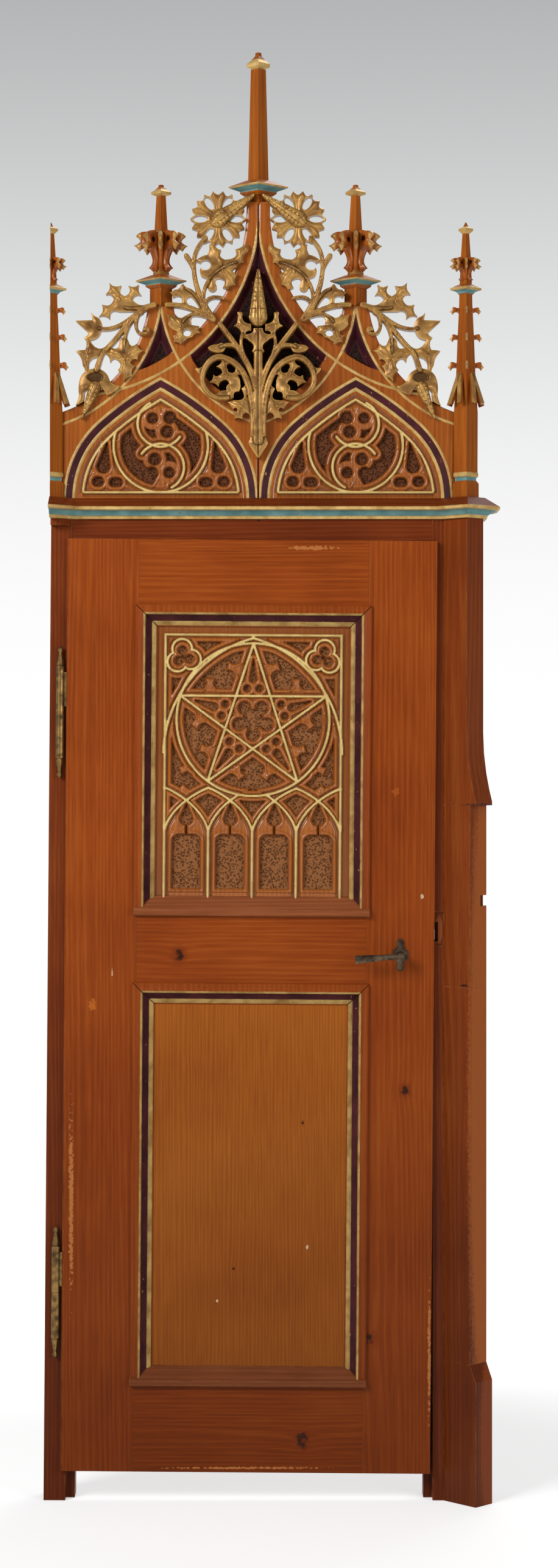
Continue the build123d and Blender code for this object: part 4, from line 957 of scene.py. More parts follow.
    @staticmethod
    def _cap(points: Field, rim: Field) -> Field:
        """Triangles that fill the outline at the back, facing away from the front.

        Args:
            points: places on the drawing.
            rim: the outline's edges as pairs of points.

        Returns:
            The triangles as numbers of points.
        """
        used, number = np.unique(rim.ravel(), return_inverse=True)
        places = [Vector(place) for place in points[used]]
        made = delaunay_2d_cdt(places, number.reshape(-1, 2).tolist(), [], 0, 0.0)
        origin = np.array([used[first[0]] for first in made[3]])
        cap = origin[np.array(made[2])]
        middle = points[cap].mean(1)
        odd = np.zeros(len(cap), bool)
        for (x, z), (next_x, next_z) in points[rim]:
            crossed = (z > middle[:, 1]) != (next_z > middle[:, 1])
            odd ^= crossed & (middle[:, 0] < x + (next_x - x) * (middle[:, 1] - z) / ((next_z - z) or 1.0))
        turns = cap[:, ((0, 1), (1, 2), (2, 0))]
        rim_keys = rim[:, 0] * len(points) + rim[:, 1]
        along = np.isin(turns[..., 0] * len(points) + turns[..., 1], rim_keys).any(1)
        against = np.isin(turns[..., 1] * len(points) + turns[..., 0], rim_keys).any(1)
        return cap[along | (odd & ~against)][:, ::-1]


def plain_mesh(name: str, verts: Field, faces: Field) -> Mesh:
    """A mesh of triangles from arrays.

    Args:
        name: what the mesh is called.
        verts: its points.
        faces: its triangles as numbers of points.

    Returns:
        The mesh.
    """
    mesh = bpy.data.meshes.new(name)
    mesh.vertices.add(len(verts))
    mesh.vertices.foreach_set("co", np.asarray(verts, np.float32).ravel())
    mesh.loops.add(faces.size)
    mesh.loops.foreach_set("vertex_index", np.asarray(faces, np.int32).ravel())
    mesh.polygons.add(len(faces))
    mesh.polygons.foreach_set("loop_start", np.arange(0, faces.size, 3, dtype=np.int32))
    mesh.update(calc_edges=True)
    mesh.validate()
    return mesh


def linked(name: str, data: Any) -> Object:
    """A new object in the scene.

    Args:
        name: what the object is called.
        data: its mesh, lamp or camera.

    Returns:
        The object.
    """
    made = bpy.data.objects.new(name, data)
    bpy.context.scene.collection.objects.link(made)
    return made


def leave_marks(mesh: Mesh, marks: dict[str, Any]) -> None:
    """Leave numbers on a mesh's points, by name, for its finish to read."""
    for name, values in marks.items():
        mesh.attributes.new(name, "FLOAT", "POINT").data.foreach_set("value", values)


def finished(mesh: Mesh, material: Material, crease: float) -> Object:
    """An object at the origin, smooth but for creases sharper than so many degrees.

    Args:
        mesh: the object's mesh.
        material: its finish.
        crease: the angle.

    Returns:
        The object.
    """
    mesh.polygons.foreach_set("use_smooth", np.ones(len(mesh.polygons), bool))
    mesh.set_sharp_from_angle(angle=math.radians(crease))
    mesh.materials.append(material)
    return linked(mesh.name, mesh)


def settle(piece: Object, body: str, slot: str, *nodes: str) -> None:
    """Let a piece ride on a body and stand for its solids.

    Args:
        piece: the finished object.
        body: what it rides on.
        slot: the slot's name; not used.
        *nodes: the solids it stands for.
    """
    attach(piece, body)
    if nodes:
        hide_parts(*nodes)
    LOG.info("%s: %d faces on %s", piece.name, len(piece.data.polygons), body)


@dataclass(frozen=True)
class Carved:
    """Carved pine: glossy rolls darkened with painted shade beside the grounds, dull punched grounds,
    gilded and painted members.
    """

    name: str
    wood: Pine
    ground_dark: Colour
    ground_pale: Colour
    punch: float = 0.0042
    gloss: float = 0.8
    gilt: Gilt = LINING
    ragged: float = 0.0012
    soft: float = 0.0004

    @cache
    def material(self) -> Material:
        """The carving's material, which reads the marks that the carver left on the mesh.

        Returns:
            The finished material.
        """
        paint = Paint(self.name)
        hollow = paint.attribute("hollow")
        wood = self.wood.layer(paint)
        # painted shade: the wood darkens towards its dark tone where the hollow mark is up to 0.4
        shaded_rolls = paint.mix(hollow.step(0.0, 0.4) * 0.6, wood.colour, self.wood.dark)
        wood = Layer(shaded_rolls, wood.roughness - 0.1, 0.0, wood.height * 0.4)
        dots = paint.node("ShaderNodeTexVoronoi", {}, {"Vector": paint.place, "Scale": 1.0 / self.punch})
        dots = dots.step(0.1, 0.62)
        ground = Layer(paint.mix(dots, self.ground_dark, self.ground_pale), 0.8, 0.0, dots * 2.0)
        layer = wood.covered(hollow.step(0.45, 0.7), ground)
        ragged = (paint.noise(90.0, 3.0) - 0.5) * self.ragged
        painted, gilded = (1.0 - (paint.attribute(name) + ragged).step(-self.soft, self.soft)
                           for name in ("purple", "gold"))
        layer = layer.covered(painted, PURPLE.layer(paint))
        layer = layer.covered(gilded, self.gilt.layer(paint))
        varnish = (1.0 - hollow.step(0.3, 0.6)) * (1.0 - painted) * self.gloss
        return paint.close(layer, None, 0.0008, 0.1, varnish)


TRACERY_PINE = Pine("tracery_pine", Grain.UPRIGHT, (0.17, 0.045, 0.008), (0.37, 0.105, 0.015),
                    (0.5, 0.165, 0.03), ring=0.009, polish=0.3)
TRACERY = Carved("carved_tracery", TRACERY_PINE, (0.075, 0.027, 0.009), (0.27, 0.105, 0.036))
LUNETTE = Carved("carved_lunette", TRACERY_PINE, (0.028, 0.008, 0.003), (0.125, 0.042, 0.016))


# Tracery

def drop(x: Field, z: Field, round_end: Place, thin_end: Place, radius: float, thin: float) -> Field:
    """Distance from a teardrop's edge, less than zero inside.

    Args:
        x, z: places across and up.
        round_end, thin_end: middles of the two ends.
        radius, thin: their radii.

    Returns:
        The distance at each place.
    """
    dx, dz = thin_end[0] - round_end[0], thin_end[1] - round_end[1]
    along = np.clip(((x - round_end[0]) * dx + (z - round_end[1]) * dz) / (dx * dx + dz * dz), 0.0, 1.0)
    return segment(x, z, round_end, thin_end) - radius - (thin - radius) * along


def block(x: Field, z: Field, middle: Place, half: Place, soft: float) -> Field:
    """Distance from a block's edge with rounded corners, less than zero inside.

    Args:
        x, z: places across and up.
        middle: the block's middle.
        half: half its width and height.
        soft: radius of its corners.

    Returns:
        The distance at each place.
    """
    dx = np.abs(x - middle[0]) - half[0] + soft
    dz = np.abs(z - middle[1]) - half[1] + soft
    return np.hypot(np.maximum(dx, 0), np.maximum(dz, 0)) + np.minimum(np.maximum(dx, dz), 0) - soft


@dataclass
class Tracery:
    """How tracery is cut: gilded fillets above, rounded wood between, punched grounds below."""

    fillet: float = 0.0058
    rise: float = 0.0038
    sink: float = 0.0085
    roll: float = 0.0138
    wall: float = 0.0024
    round: float = 0.0036
    bead: float = 0.0032
    valley: float = 0.003

    def cut(self, edge: Field, middles: Field, pocket: Field, slope: Field | float = 1.0) -> Carving:
        """Heights and marks.

        Args:
            edge: distance from the board's outline.
            middles: distance from the nearest fillet's middle.
            pocket: distance from the nearest ground's edge, less than zero inside.
            slope: share of the grounds' depth.

        Returns:
            The carving at those places.
        """
        gold = middles - self.fillet / 2
        hollow = ease(-pocket, 0.0, self.wall)
        bead = self.bead * np.clip(1.0 - ((pocket - self.round) / self.round) ** 2, 0.0, 1.0)
        away = ease(pocket, 1.6 * self.round, 2.4 * self.round) * (1.0 - ease(gold, 0.004, 0.009))
        valley = self.valley * away
        height = np.where(pocket > 0, bead - valley, -self.sink * hollow * slope)
        height = np.where(gold < 0, self.rise * ease(-gold, 0.0, 0.0011), height)
        # painted shade: up to 0.4 on the wood in the valleys and at the grounds' edges; on the grounds the
        # mark is their depth
        low = np.minimum(valley / self.valley + 1.0 - ease(pocket, 0.0, 0.002), 1.0)
        shade = np.where(pocket > 0, 0.4 * low, hollow)
        marks = {"gold": gold, "hollow": shade, "purple": np.ones_like(gold)}
        return Carving(edge, height, marks, (gold, pocket))


@dataclass
class StarPanel:
    """The upper panel: a star in a ring under a pointed vault, over an arcade of four bays."""

    frame: dict[str, Any]
    hang: Hang
    tracery: Tracery = field(default_factory=Tracery)
    margin: float = 0.014
    spill: float = 0.003
    grid: float = 0.0017
    ring_share: float = 0.427
    ring_drop_share: float = 0.481
    vault_share: float = 0.674
    vault_shift_share: float = 0.175
    vault_drop_share: float = 0.676
    springing: float = 0.134
    rib_rise: float = 0.088
    bays: int = 4
    kite: float = 0.0108
    bends: tuple[Place, ...] = ((0.0, 0.0), (0.1, 0.42), (0.52, 0.8), (1.0, 1.0))
    corner: Place = (0.04, 0.048)
    foil: float = 0.02
    foil_reach: float = 0.0165
    haunch: Place = (0.135, 0.24)
    haunch_radius: float = 0.0135

    def build(self) -> None:
        """Carve the panel and hang it in the leaf."""
        nodes = self.frame["nodes"]
        panel = self.hang.box(nodes["upper_panel"])
        left = self.hang.box(nodes["upper_moulding_left"])[1].x + self.margin
        right = self.hang.box(nodes["upper_moulding_right"])[0].x - self.margin
        top = self.hang.box(nodes["upper_moulding_top"])[0].z - self.margin
        self.foot = self.hang.box(nodes["upper_sill"])[1].z
        self.middle = (left + right) / 2
        self.width, self.height = right - left, top - self.foot
        low = (left - self.spill, self.foot - self.spill)
        high = (right + self.spill, top + self.spill)
        face = panel[0].y + self.tracery.rise + PROUD
        board = CarvedBoard("star_panel", self.carve, low, high, face, panel[1].y, self.grid, border=panel)
        settle(board.build(self.hang.matrix(), TRACERY.material()), "leaf", "carved_pine", "upper_panel")

    def carve(self, x: Field, z: Field) -> Carving:
        """Heights and marks of the panel's front.

        Args:
            x, z: places across and up.

        Returns:
            The carving at these places.
        """
        u, v = np.abs(x - self.middle), z - self.foot
        hub = (0.0, self.height - self.ring_drop_share * self.width)
        ring = self.ring_share * self.width
        arm, side, reach = self._sector(u, v, hub)
        knuckle = ring * math.cos(math.radians(72)) / math.cos(math.radians(36))
        inner = polar(36.0, knuckle)
        star = np.minimum(*(segment(arm, side, (start, 0.0), inner) for start in (ring, inner[0])))
        lancet, arch, ribs = self._ribs(u, v)
        outside = np.maximum(u - self.width / 2, v - self.height)
        ribs = np.where((reach < ring) | (outside > 0), self.width, ribs)
        foils, eyes = self._corner(u, v)
        middles = np.minimum.reduce([
            np.abs(reach - ring), star, ribs, np.abs(foils), np.abs(outside + self.tracery.fillet / 2),
            self._vault(u, v), self._mullions(u, v),
        ])
        pocket = np.maximum(self.tracery.roll - middles, -self._cusps(u, v, arm, side, ring, inner, reach))
        pocket = np.minimum(pocket, disc(u, v, self.haunch, self.haunch_radius))
        within = (arm - ring) * inner[1] + side * (ring - inner[0]) < 0
        pocket = np.where(within & (reach < ring), self._star_eyes(arm, side), pocket)
        bay, slope = self._bay(u, v)
        pocket = np.where(v < lancet, bay, np.where(v < arch, self.kite - middles, pocket))
        pocket = np.where(foils < 0, eyes, pocket)
        pocket = np.maximum(pocket, np.maximum(outside, -v) + self.tracery.roll)
        return self.tracery.cut(np.full_like(u, -1.0), middles, pocket, np.where(v < lancet, slope, 1.0))

    @staticmethod
    def _sector(u: Field, v: Field, hub: Place) -> tuple[Field, Field, Field]:
        """Places folded into half of one arm of the star: along the arm, across it and from the hub.

        Args:
            u, v: places across and up the drawing.
            hub: the star's middle.

        Returns:
            The three distances at each place.
        """
        bearing = np.degrees(np.arctan2(v - hub[1], u - hub[0])) - 90.0
        off = np.radians(np.abs((bearing + 36.0) % 72.0 - 36.0))
        reach = np.hypot(u - hub[0], v - hub[1])
        return reach * np.cos(off), reach * np.sin(off), reach

    def _vault(self, u: Field, v: Field) -> Field:
        """Distance from the two arcs that meet at the top.

        Args:
            u, v: places across and up the drawing.

        Returns:
            The distance at each place.
        """
        centre_z = self.height - self.vault_drop_share * self.width
        reach = np.hypot(u + self.vault_shift_share * self.width, v - centre_z)
        return np.where(v > centre_z, np.abs(reach - self.vault_share * self.width), self.width)

    def _pitch(self) -> float:
        """Width of a bay."""
        return (self.width - self.tracery.fillet) / self.bays

    def _mullions(self, u: Field, v: Field) -> Field:
        """Distance from the upright bars.

        Args:
            u, v: places across and up the drawing.

        Returns:
            The distance at each place.
        """
        pitch = self._pitch()
        off = np.abs((u + pitch / 2) % pitch - pitch / 2)
        return np.hypot(off, np.maximum(v - self.springing, 0.0))

    def _ribs(self, u: Field, v: Field) -> tuple[Field, Field, Field]:
        """Height of the lancets and of the wide arches at each place, and distance from their ribs.

        Args:
            u, v: places across and up the drawing.

        Returns:
            Both heights, and the distance.
        """
        pitch = self._pitch()
        bends = [(a * pitch, self.springing + b * self.rib_rise) for a, b in self.bends]
        curve = np.array(bezier(bends, 12))
        along = u % pitch
        rising = np.interp(along, curve[:, 0], curve[:, 1])
        falling = np.interp(pitch - along, curve[:, 0], curve[:, 1])
        lines = []
        for a, b in zip(curve[:-1], curve[1:]):
            lines.append(segment(along, v, tuple(a), tuple(b)))
            lines.append(segment(pitch - along, v, tuple(a), tuple(b)))
        return np.minimum(rising, falling), np.maximum(rising, falling), np.minimum.reduce(lines)

    def _corner(self, u: Field, v: Field) -> tuple[Field, Field]:
        """Distance from the outline of a top corner's trefoil, and from its joined eyes.

        Args:
            u, v: places across and up the drawing.

        Returns:
            Both distances at each place.
        """
        middle = (self.width / 2 - self.corner[0], self.height - self.corner[1])
        turns = (80.0, 200.0, 320.0)
        lobes = [disc(u, v, polar(turn, self.foil_reach, middle), self.foil) for turn in turns]
        eyes = [disc(u, v, polar(turn, self.foil_reach * 0.8, middle), self.foil * 0.5) for turn in turns]
        eyes.append(disc(u, v, middle, self.foil * 0.28))
        return np.minimum.reduce(lobes), np.minimum.reduce(eyes)

    @staticmethod
    def _cusps(u: Field, v: Field, arm: Field, side: Field, ring: float, inner: Place,
               reach: Field) -> Field:
        """Distance from the cusps that stand in the ring's spandrels and beside the ring.

        Args:
            u, v: places across and up the drawing.
            arm, side: places along and across an arm of the star.
            ring: the circle's radius.
            inner: a notch of the star.
            reach: distance from the hub.

        Returns:
            The distance at each place.
        """
        share = 0.53
        root = (ring + share * (inner[0] - ring), share * inner[1])
        slant = math.hypot(ring - inner[0], inner[1])
        tip = (root[0] + 0.035 * inner[1] / slant, root[1] + 0.035 * (ring - inner[0]) / slant)
        within = limb(arm, side, root, tip, 0.036, 0.0046, 0.009)
        upper = limb(u, v, (0.11, 0.272), (0.148, 0.257), 0.03, 0.0042, 0.0082)
        lower = limb(u, v, (0.106, 0.194), (0.147, 0.223), 0.03, 0.0042, 0.0082)
        return np.where(reach < ring, within, np.minimum(upper, lower))

    @staticmethod
    def _star_eyes(arm: Field, side: Field) -> Field:
        """Distance from the grounds inside the star: five foils, and a leaf and two lobes in each arm.

        Args:
            arm, side: places along and across an arm of the star.

        Returns:
            The distance at each place.
        """
        foil = np.minimum(disc(arm, side, polar(36.0, 0.03), 0.0142), np.hypot(arm, side) - 0.022)
        leaf = drop(arm, side, (0.084, 0.0), (0.124, 0.0), 0.0088, 0.002)
        lobe = disc(arm, side, (0.0645, 0.0125), 0.0082)
        return np.minimum.reduce([foil, leaf, lobe])

    def _bay(self, u: Field, v: Field) -> tuple[Field, Field]:
        """Distance from the grounds of a bay, and the share of their depth over its sloped foot.

        Args:
            u, v: places across and up the drawing.

        Returns:
            The distance and the share at each place.
        """
        off = np.abs(u % self._pitch() - self._pitch() / 2)
        eye = drop(off, v, (0.0, 0.159), (0.0, 0.187), 0.0148, 0.003)
        slit = segment(off, v, (0.0, 0.124), (0.0, 0.146)) - 0.0024
        recess = block(off, v, (0.0, 0.058), (0.03, 0.069), 0.015)
        return np.minimum.reduce([eye, slit, recess]), np.clip((v - 0.009) / 0.018, 0.0, 1.0)


@dataclass
class Lunette:
    """The outline shared by a lunette's opening and its panel, from the middle of its foot."""

    half: float = 0.194
    rise: float = 0.242
    spring: float = 0.0125
    turn: float = 48.0

    def inset(self, x: Field, z: Field) -> Field:
        """Distance inwards from the outline.

        Args:
            x, z: places across and up.

        Returns:
            The distance at each place.
        """
        low = self.half + self.spring
        bearing = math.pi - math.radians(self.turn)
        along = (math.cos(bearing), math.sin(bearing))
        reach = self.rise * along[1] - self.spring * along[0]
        stretch = (self.spring ** 2 + self.rise ** 2 - low ** 2) / (2 * (low - reach))
        left = -np.abs(x)
        near = low - np.hypot(left - self.spring, z)
        far = low + stretch - np.hypot(left - self.spring + stretch * along[0], z + stretch * along[1])
        return np.where(np.arctan2(z, left - self.spring) > bearing, near, far)


@dataclass
class LunettePanel:
    """A lunette's carved panel: a wheel in which two curls turn about each other."""

    side: Side
    crest_base: float
    shape: Lunette = field(default_factory=Lunette)
    tracery: Tracery = field(default_factory=lambda: Tracery(rise=0.0036, sink=0.0085))
    reveal: float = 0.0252
    arch: float = 0.0342
    foot: float = 0.012
    hub: float = 0.109
    wheel: float = 0.0968
    curl: float = 0.0476

    def build(self) -> None:
        """Carve the panel and set it in the cresting."""
        node = "lunette_panel_" + self.side.value
        low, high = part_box(node)
        self.middle = (low.x + high.x) / 2
        board = CarvedBoard("carved_" + node, self.carve, (low.x, low.z), (high.x, high.z),
                            low.y + self.tracery.rise + PROUD, high.y)
        settle(board.build(Matrix.Identity(4), LUNETTE.material()), "frame", "carved_pine", node)

    def carve(self, x: Field, z: Field) -> Carving:
        """Heights and marks of the panel's front.

        Args:
            x, z: places across and up.

        Returns:
            The carving at these places.
        """
        u, v = (x - self.middle) * self.side.turn, z - self.crest_base
        inset = self.shape.inset(u, v)
        edge = np.maximum(self.reveal - inset, -v)
        reach = np.hypot(u, v - self.hub)
        arch = np.where(v > self.foot, np.abs(inset - self.arch), 1.0)
        sill = np.where(inset > self.arch, np.abs(v - self.foot), 1.0)
        wheel = np.where(inset > self.arch, np.abs(reach - self.wheel), 1.0)
        upper, lower = (0.0, self.hub + self.curl - 0.003), (0.0, self.hub - self.curl + 0.003)
        curls = np.minimum(arc(u, v, upper, self.curl, 118.0, 325.0),
                           arc(u, v, lower, self.curl, -62.0, 145.0))
        middles = np.minimum.reduce([arch, sill, wheel, np.where(reach < self.wheel, curls, 1.0)])
        brown, eyes = self._curls(u, v)
        pocket = np.minimum(np.maximum(self.tracery.roll - middles, -brown), eyes)
        beside = (reach > self.wheel) | (inset < self.arch) | (v < self.foot)
        pocket = np.where(beside, self._trefoil(np.abs(u), v), pocket)
        return self.tracery.cut(edge, middles, pocket)

    def _curls(self, u: Field, v: Field) -> tuple[Field, Field]:
        """Distance from the wood inside the two curls, and from the eyes in it.

        Args:
            u, v: places across and up the drawing.

        Returns:
            Both distances at each place.
        """
        wood, eyes = [], []
        for turn in (0.0, 180.0):
            hub = (0.0, self.hub)
            for bearing, reach, radius in ((107.0, 0.0585, 0.012), (66.0, 0.031, 0.0132)):
                place = polar(bearing + turn, reach, hub)
                wood.append(disc(u, v, place, 0.024))
                eyes.append(disc(u, v, place, radius))
            root, tip = polar(88.0 + turn, self.wheel, hub), polar(88.0 + turn, 0.054, hub)
            wood.append(limb(u, v, root, tip, 0.03, 0.006, 0.007))
            hood = polar(72.0 + turn, 0.06, hub)
            eyes.append(disc(u, v, hood, 0.0135))
        return np.minimum.reduce(wood), np.minimum.reduce(eyes)

    @staticmethod
    def _trefoil(u: Field, v: Field) -> Field:
        """Distance from the grounds beside the wheel: a leaf over two lobes.

        Args:
            u, v: places across and up the drawing.

        Returns:
            The distance at each place.
        """
        leaf = drop(u, v, (0.118, 0.066), (0.111, 0.114), 0.015, 0.0025)
        near = block(u, v, (0.0925, 0.033), (0.0145, 0.01), 0.0095)
        far = block(u, v, (0.129, 0.0345), (0.0125, 0.011), 0.0105)
        return np.minimum.reduce([leaf, near, far])


# Cresting

@dataclass
class Cresting:
    """Where the cresting stands, and the arms of its gables."""

    half: float = 0.4
    shoulder_share: float = 0.625
    block_share: float = 0.585
    side_share: float = 0.72
    side_height_share: float = 1.069
    side_neck_share: float = 0.985
    centre_share: float = 0.9563
    centre_height_share: float = 1.484
    centre_neck_share: float = 1.52
    band: float = 0.024
    splay: float = 0.018
    lunette: Lunette = field(default_factory=Lunette)

    def __post_init__(self) -> None:
        """Read the middle and the foot of the cresting from the frame."""
        left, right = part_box("cresting_board_left"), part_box("cresting_board_right")
        self.x = (left[0].x + right[1].x) / 2
        self.base = left[0].z

    def gables(self, x: Field, z: Field) -> tuple[Field, Field]:
        """How far places left of the middle lie inside the side gable and the middle one.

        Args:
            x, z: places across and up.

        Returns:
            Both distances at each place.
        """
        side = self.side_share * self.half
        level = self.side_height_share * self.half
        left = np.hypot(x + self.half / 2 + side, z - level) - side
        right = np.hypot(x + self.half / 2 - side, z - level) - side
        centre = self.centre_share * self.half
        middle = np.hypot(x + centre, z - self.centre_height_share * self.half) - centre
        return np.minimum(left, right), middle

    def outline(self, x: Field, z: Field) -> Field:
        """Distance from the left board's outline, less than zero inside.

        Args:
            x, z: places across and up.

        Returns:
            The distance at each place.
        """
        side, middle = self.gables(x, z)
        block_half = self.block_share * self.half
        off = np.abs(x + self.half / 2)
        shoulder = np.hypot(off, z) - self.shoulder_share * self.half
        side_neck, centre_neck = self.side_neck_share * self.half, self.centre_neck_share * self.half
        flank = np.maximum.reduce([-self.band - side, z - side_neck, off - block_half])
        front = np.maximum.reduce([-self.band - middle, z - centre_neck, -block_half - x])
        return np.minimum.reduce([shoulder, flank, front])


@dataclass
class CrestingBoard:
    """Half of the cresting: a board with sunk gables and the splayed band of a lunette."""

    crest: Cresting
    side: Side
    depth: float = 0.017
    thickness: float = 0.042
    leaf_seat: float = 0.013
    seam: float = 0.0001
    groove: float = 0.0022
    reveal: float = 0.0246
    step: float = 0.019
    sunk: float = 0.008
    line: float = 0.0028
    lap: float = 0.004
    grid: float = 0.0019

    def build(self) -> None:
        """Carve the board and set it on the cornice."""
        node = "cresting_board_" + self.side.value
        low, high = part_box(node)
        crest = self.crest
        reach = crest.centre_neck_share * crest.half
        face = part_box("inner_foliage_left")[1].y - self.leaf_seat
        low, high = (low.x - self.lap, crest.base), (high.x + self.lap, crest.base + reach)
        board = CarvedBoard("carved_" + node, self.carve, low, high, face, face + self.thickness, self.grid)
        settle(board.build(Matrix.Identity(4), BOARD.material()), "frame", "carved_pine", node)

    def carve(self, x: Field, z: Field) -> Carving:
        """Heights and marks of the board's front.

        Args:
            x, z: places across and up.

        Returns:
            The carving at these places.
        """
        crest = self.crest
        u, v = (x - crest.x) * self.side.turn, z - crest.base
        side, middle = crest.gables(u, v)
        inset = crest.lunette.inset(u + crest.half / 2, v)
        edge = np.maximum.reduce([
            crest.outline(u, v), -crest.half - self.lap - u, u + self.seam, -v, inset - self.reveal,
        ])
        clear = 1.0 - ease(inset, -0.034, -0.028)
        flank = ease(side, 0.004, crest.splay) * clear * (1.0 - ease(middle, -0.026, -0.022))
        front = ease(middle, 0.004, crest.splay) * clear * (1.0 - ease(side, -0.026, -0.022))
        sunk = np.maximum(flank, front)
        height = -self.depth * sunk - self.sunk * np.clip(inset / self.step, 0.0, 1.0)
        chink = np.clip(1.0 + u / self.groove, 0.0, 1.0)
        height = height - 0.0016 * ease(edge, -0.006, 0.0) * (inset < 0) - self.groove * chink
        over = inset + 0.004
        gold = np.minimum.reduce([
            np.maximum(np.abs(side - 0.001) - self.line, over),
            np.maximum(np.abs(middle - 0.001) - self.line, over),
            np.abs(inset + 0.003) - self.line, np.abs(inset - 0.0157) - 0.0032,
        ])
        height = np.where((gold < 0) & (sunk < 0.3), height + 0.0016 * ease(-gold, 0.0, 0.0012), height)
        purple = np.minimum.reduce([
            np.maximum.reduce([0.003 - side, side - crest.splay - 0.001, inset + 0.031, middle + 0.024]),
            np.maximum.reduce([0.003 - middle, middle - crest.splay - 0.004, inset + 0.031, side + 0.024]),
            np.abs(inset - 0.0063) - 0.0062,
        ])
        gold = np.where(chink > 0.2, 1.0, gold)
        # hollow mark: painted shade on the wood where the gables sink, dark ground deeper in, and the dark
        # seam
        marks = {"gold": gold, "hollow": np.maximum(sunk, chink), "purple": purple}
        return Carving(edge, height, marks, (gold,))


BOARD = Carved("carved_board", CREST, (0.01, 0.005, 0.004), (0.03, 0.014, 0.01), gloss=0.4,
               gilt=Gilt("board_gilding", (0.62, 0.42, 0.14), (0.43, 0.235, 0.065), metal=0.0))


# Leafwork

Corner = tuple[float, float, float]
Stem = tuple[Place, Place, Place, Place, float, float]


def bowed(drawn: Sequence[Corner], steps: int = 6) -> list[Place]:
    """Places along an outline whose sides bow.

    Args:
        drawn: x, height and bow of each side in turn; a bow is the side's height over its length,
            more than zero outwards.
        steps: chords to a bowed side.

    Returns:
        The outline as a closed run of places.
    """
    places: list[Place] = []
    sides = list(zip(drawn, [*drawn[1:], drawn[0]]))
    turn = math.copysign(4.0, sum(a[0] * b[1] - b[0] * a[1] for a, b in sides))
    for (x, z, bow), (next_x, next_z, _) in sides:
        if abs(bow) < 0.01:
            places.append((x, z))
            continue
        dx, dz = next_x - x, next_z - z
        for share in np.arange(steps) / steps:
            rise = bow * turn * share * (1 - share)
            places.append((x + share * dx + rise * dz, z + share * dz - rise * dx))
    return places


def inside(x: Field, z: Field, outline: Sequence[Place]) -> Field:
    """Distance from a closed outline, less than zero inside.

    Args:
        x, z: places across and up.
        outline: its corners in order.

    Returns:
        The distance at each place.
    """
    reach = np.full_like(x, np.inf)
    within = np.zeros(x.shape, bool)
    for a, b in zip(outline, [*outline[1:], outline[0]]):
        reach = np.minimum(reach, segment(x, z, a, b))
        crossed = (a[1] > z) != (b[1] > z)
        rise = b[1] - a[1] if b[1] != a[1] else 1e-9
        within ^= crossed & (x < (b[0] - a[0]) * (z - a[1]) / rise + a[0])
    return np.where(within, -reach, reach)


@dataclass(frozen=True)
class Cob:
    """A cob of seeds on its side, from its thick end to its tip."""

    root: Place
    tip: Place
    half: float
    beads: int = 11

    def relief(self, x: Field, z: Field) -> tuple[Field, Field, Field]:
        """Distance from the cob's outline, its height, and its chinks, which are darkened as painted shade.

        Args:
            x, z: places across and up.

        Returns:
            The distance, the height and a mask of the chinks.
        """
        dx, dz = self.tip[0] - self.root[0], self.tip[1] - self.root[1]
        length = math.hypot(dx, dz)
        along = ((x - self.root[0]) * dx + (z - self.root[1]) * dz) / (length * length)
        across = ((x - self.root[0]) * dz - (z - self.root[1]) * dx) / length
        share = np.clip(along, 0.0, 1.0)
        half = self.half * np.sqrt(np.clip(share / 0.14, 0.02, 1.0)) * (1.0 - 0.88 * share ** 1.25)
        edge = np.maximum(np.abs(across) - half, np.maximum(-along, along - 1.0) * length)
        off = np.clip(np.abs(across) / half, 0.0, 1.0)
        dome = np.sqrt(1.0 - 0.92 * off * off) * half
        rows = ease(off, 0.3, 0.4) * (1.0 - ease(off, 0.8, 0.92))
        chink = 1.0 - np.clip(np.abs(np.sin(math.pi * self.beads * share ** 0.85)) * 3.2, 0.0, 1.0)
        groove = 0.7 * (np.exp(-((off - 0.33) / 0.05) ** 2) + np.exp(-((off - 0.86) / 0.05) ** 2))
        # painted shade in the chinks between the seeds and in the grooves between their rows
        dark = np.clip(rows * chink + groove, 0.0, 1.0)
        return edge, dome - 0.0022 * dark, dark


@dataclass(frozen=True)
class Sheet:
    """A spray as it is drawn, in steps of a fixed length from the left and down from the top."""

    leaves: tuple[tuple[Corner, ...], ...]
    stems: tuple[Stem, ...]
    cobs: tuple[Cob, ...] = ()
    holes: tuple[tuple[float, float, float, float], ...] = ()
    hollows: tuple[tuple[float, float, float, float], ...] = ()
    rosette: tuple[float, float, float] | None = None
    seam: float | None = None


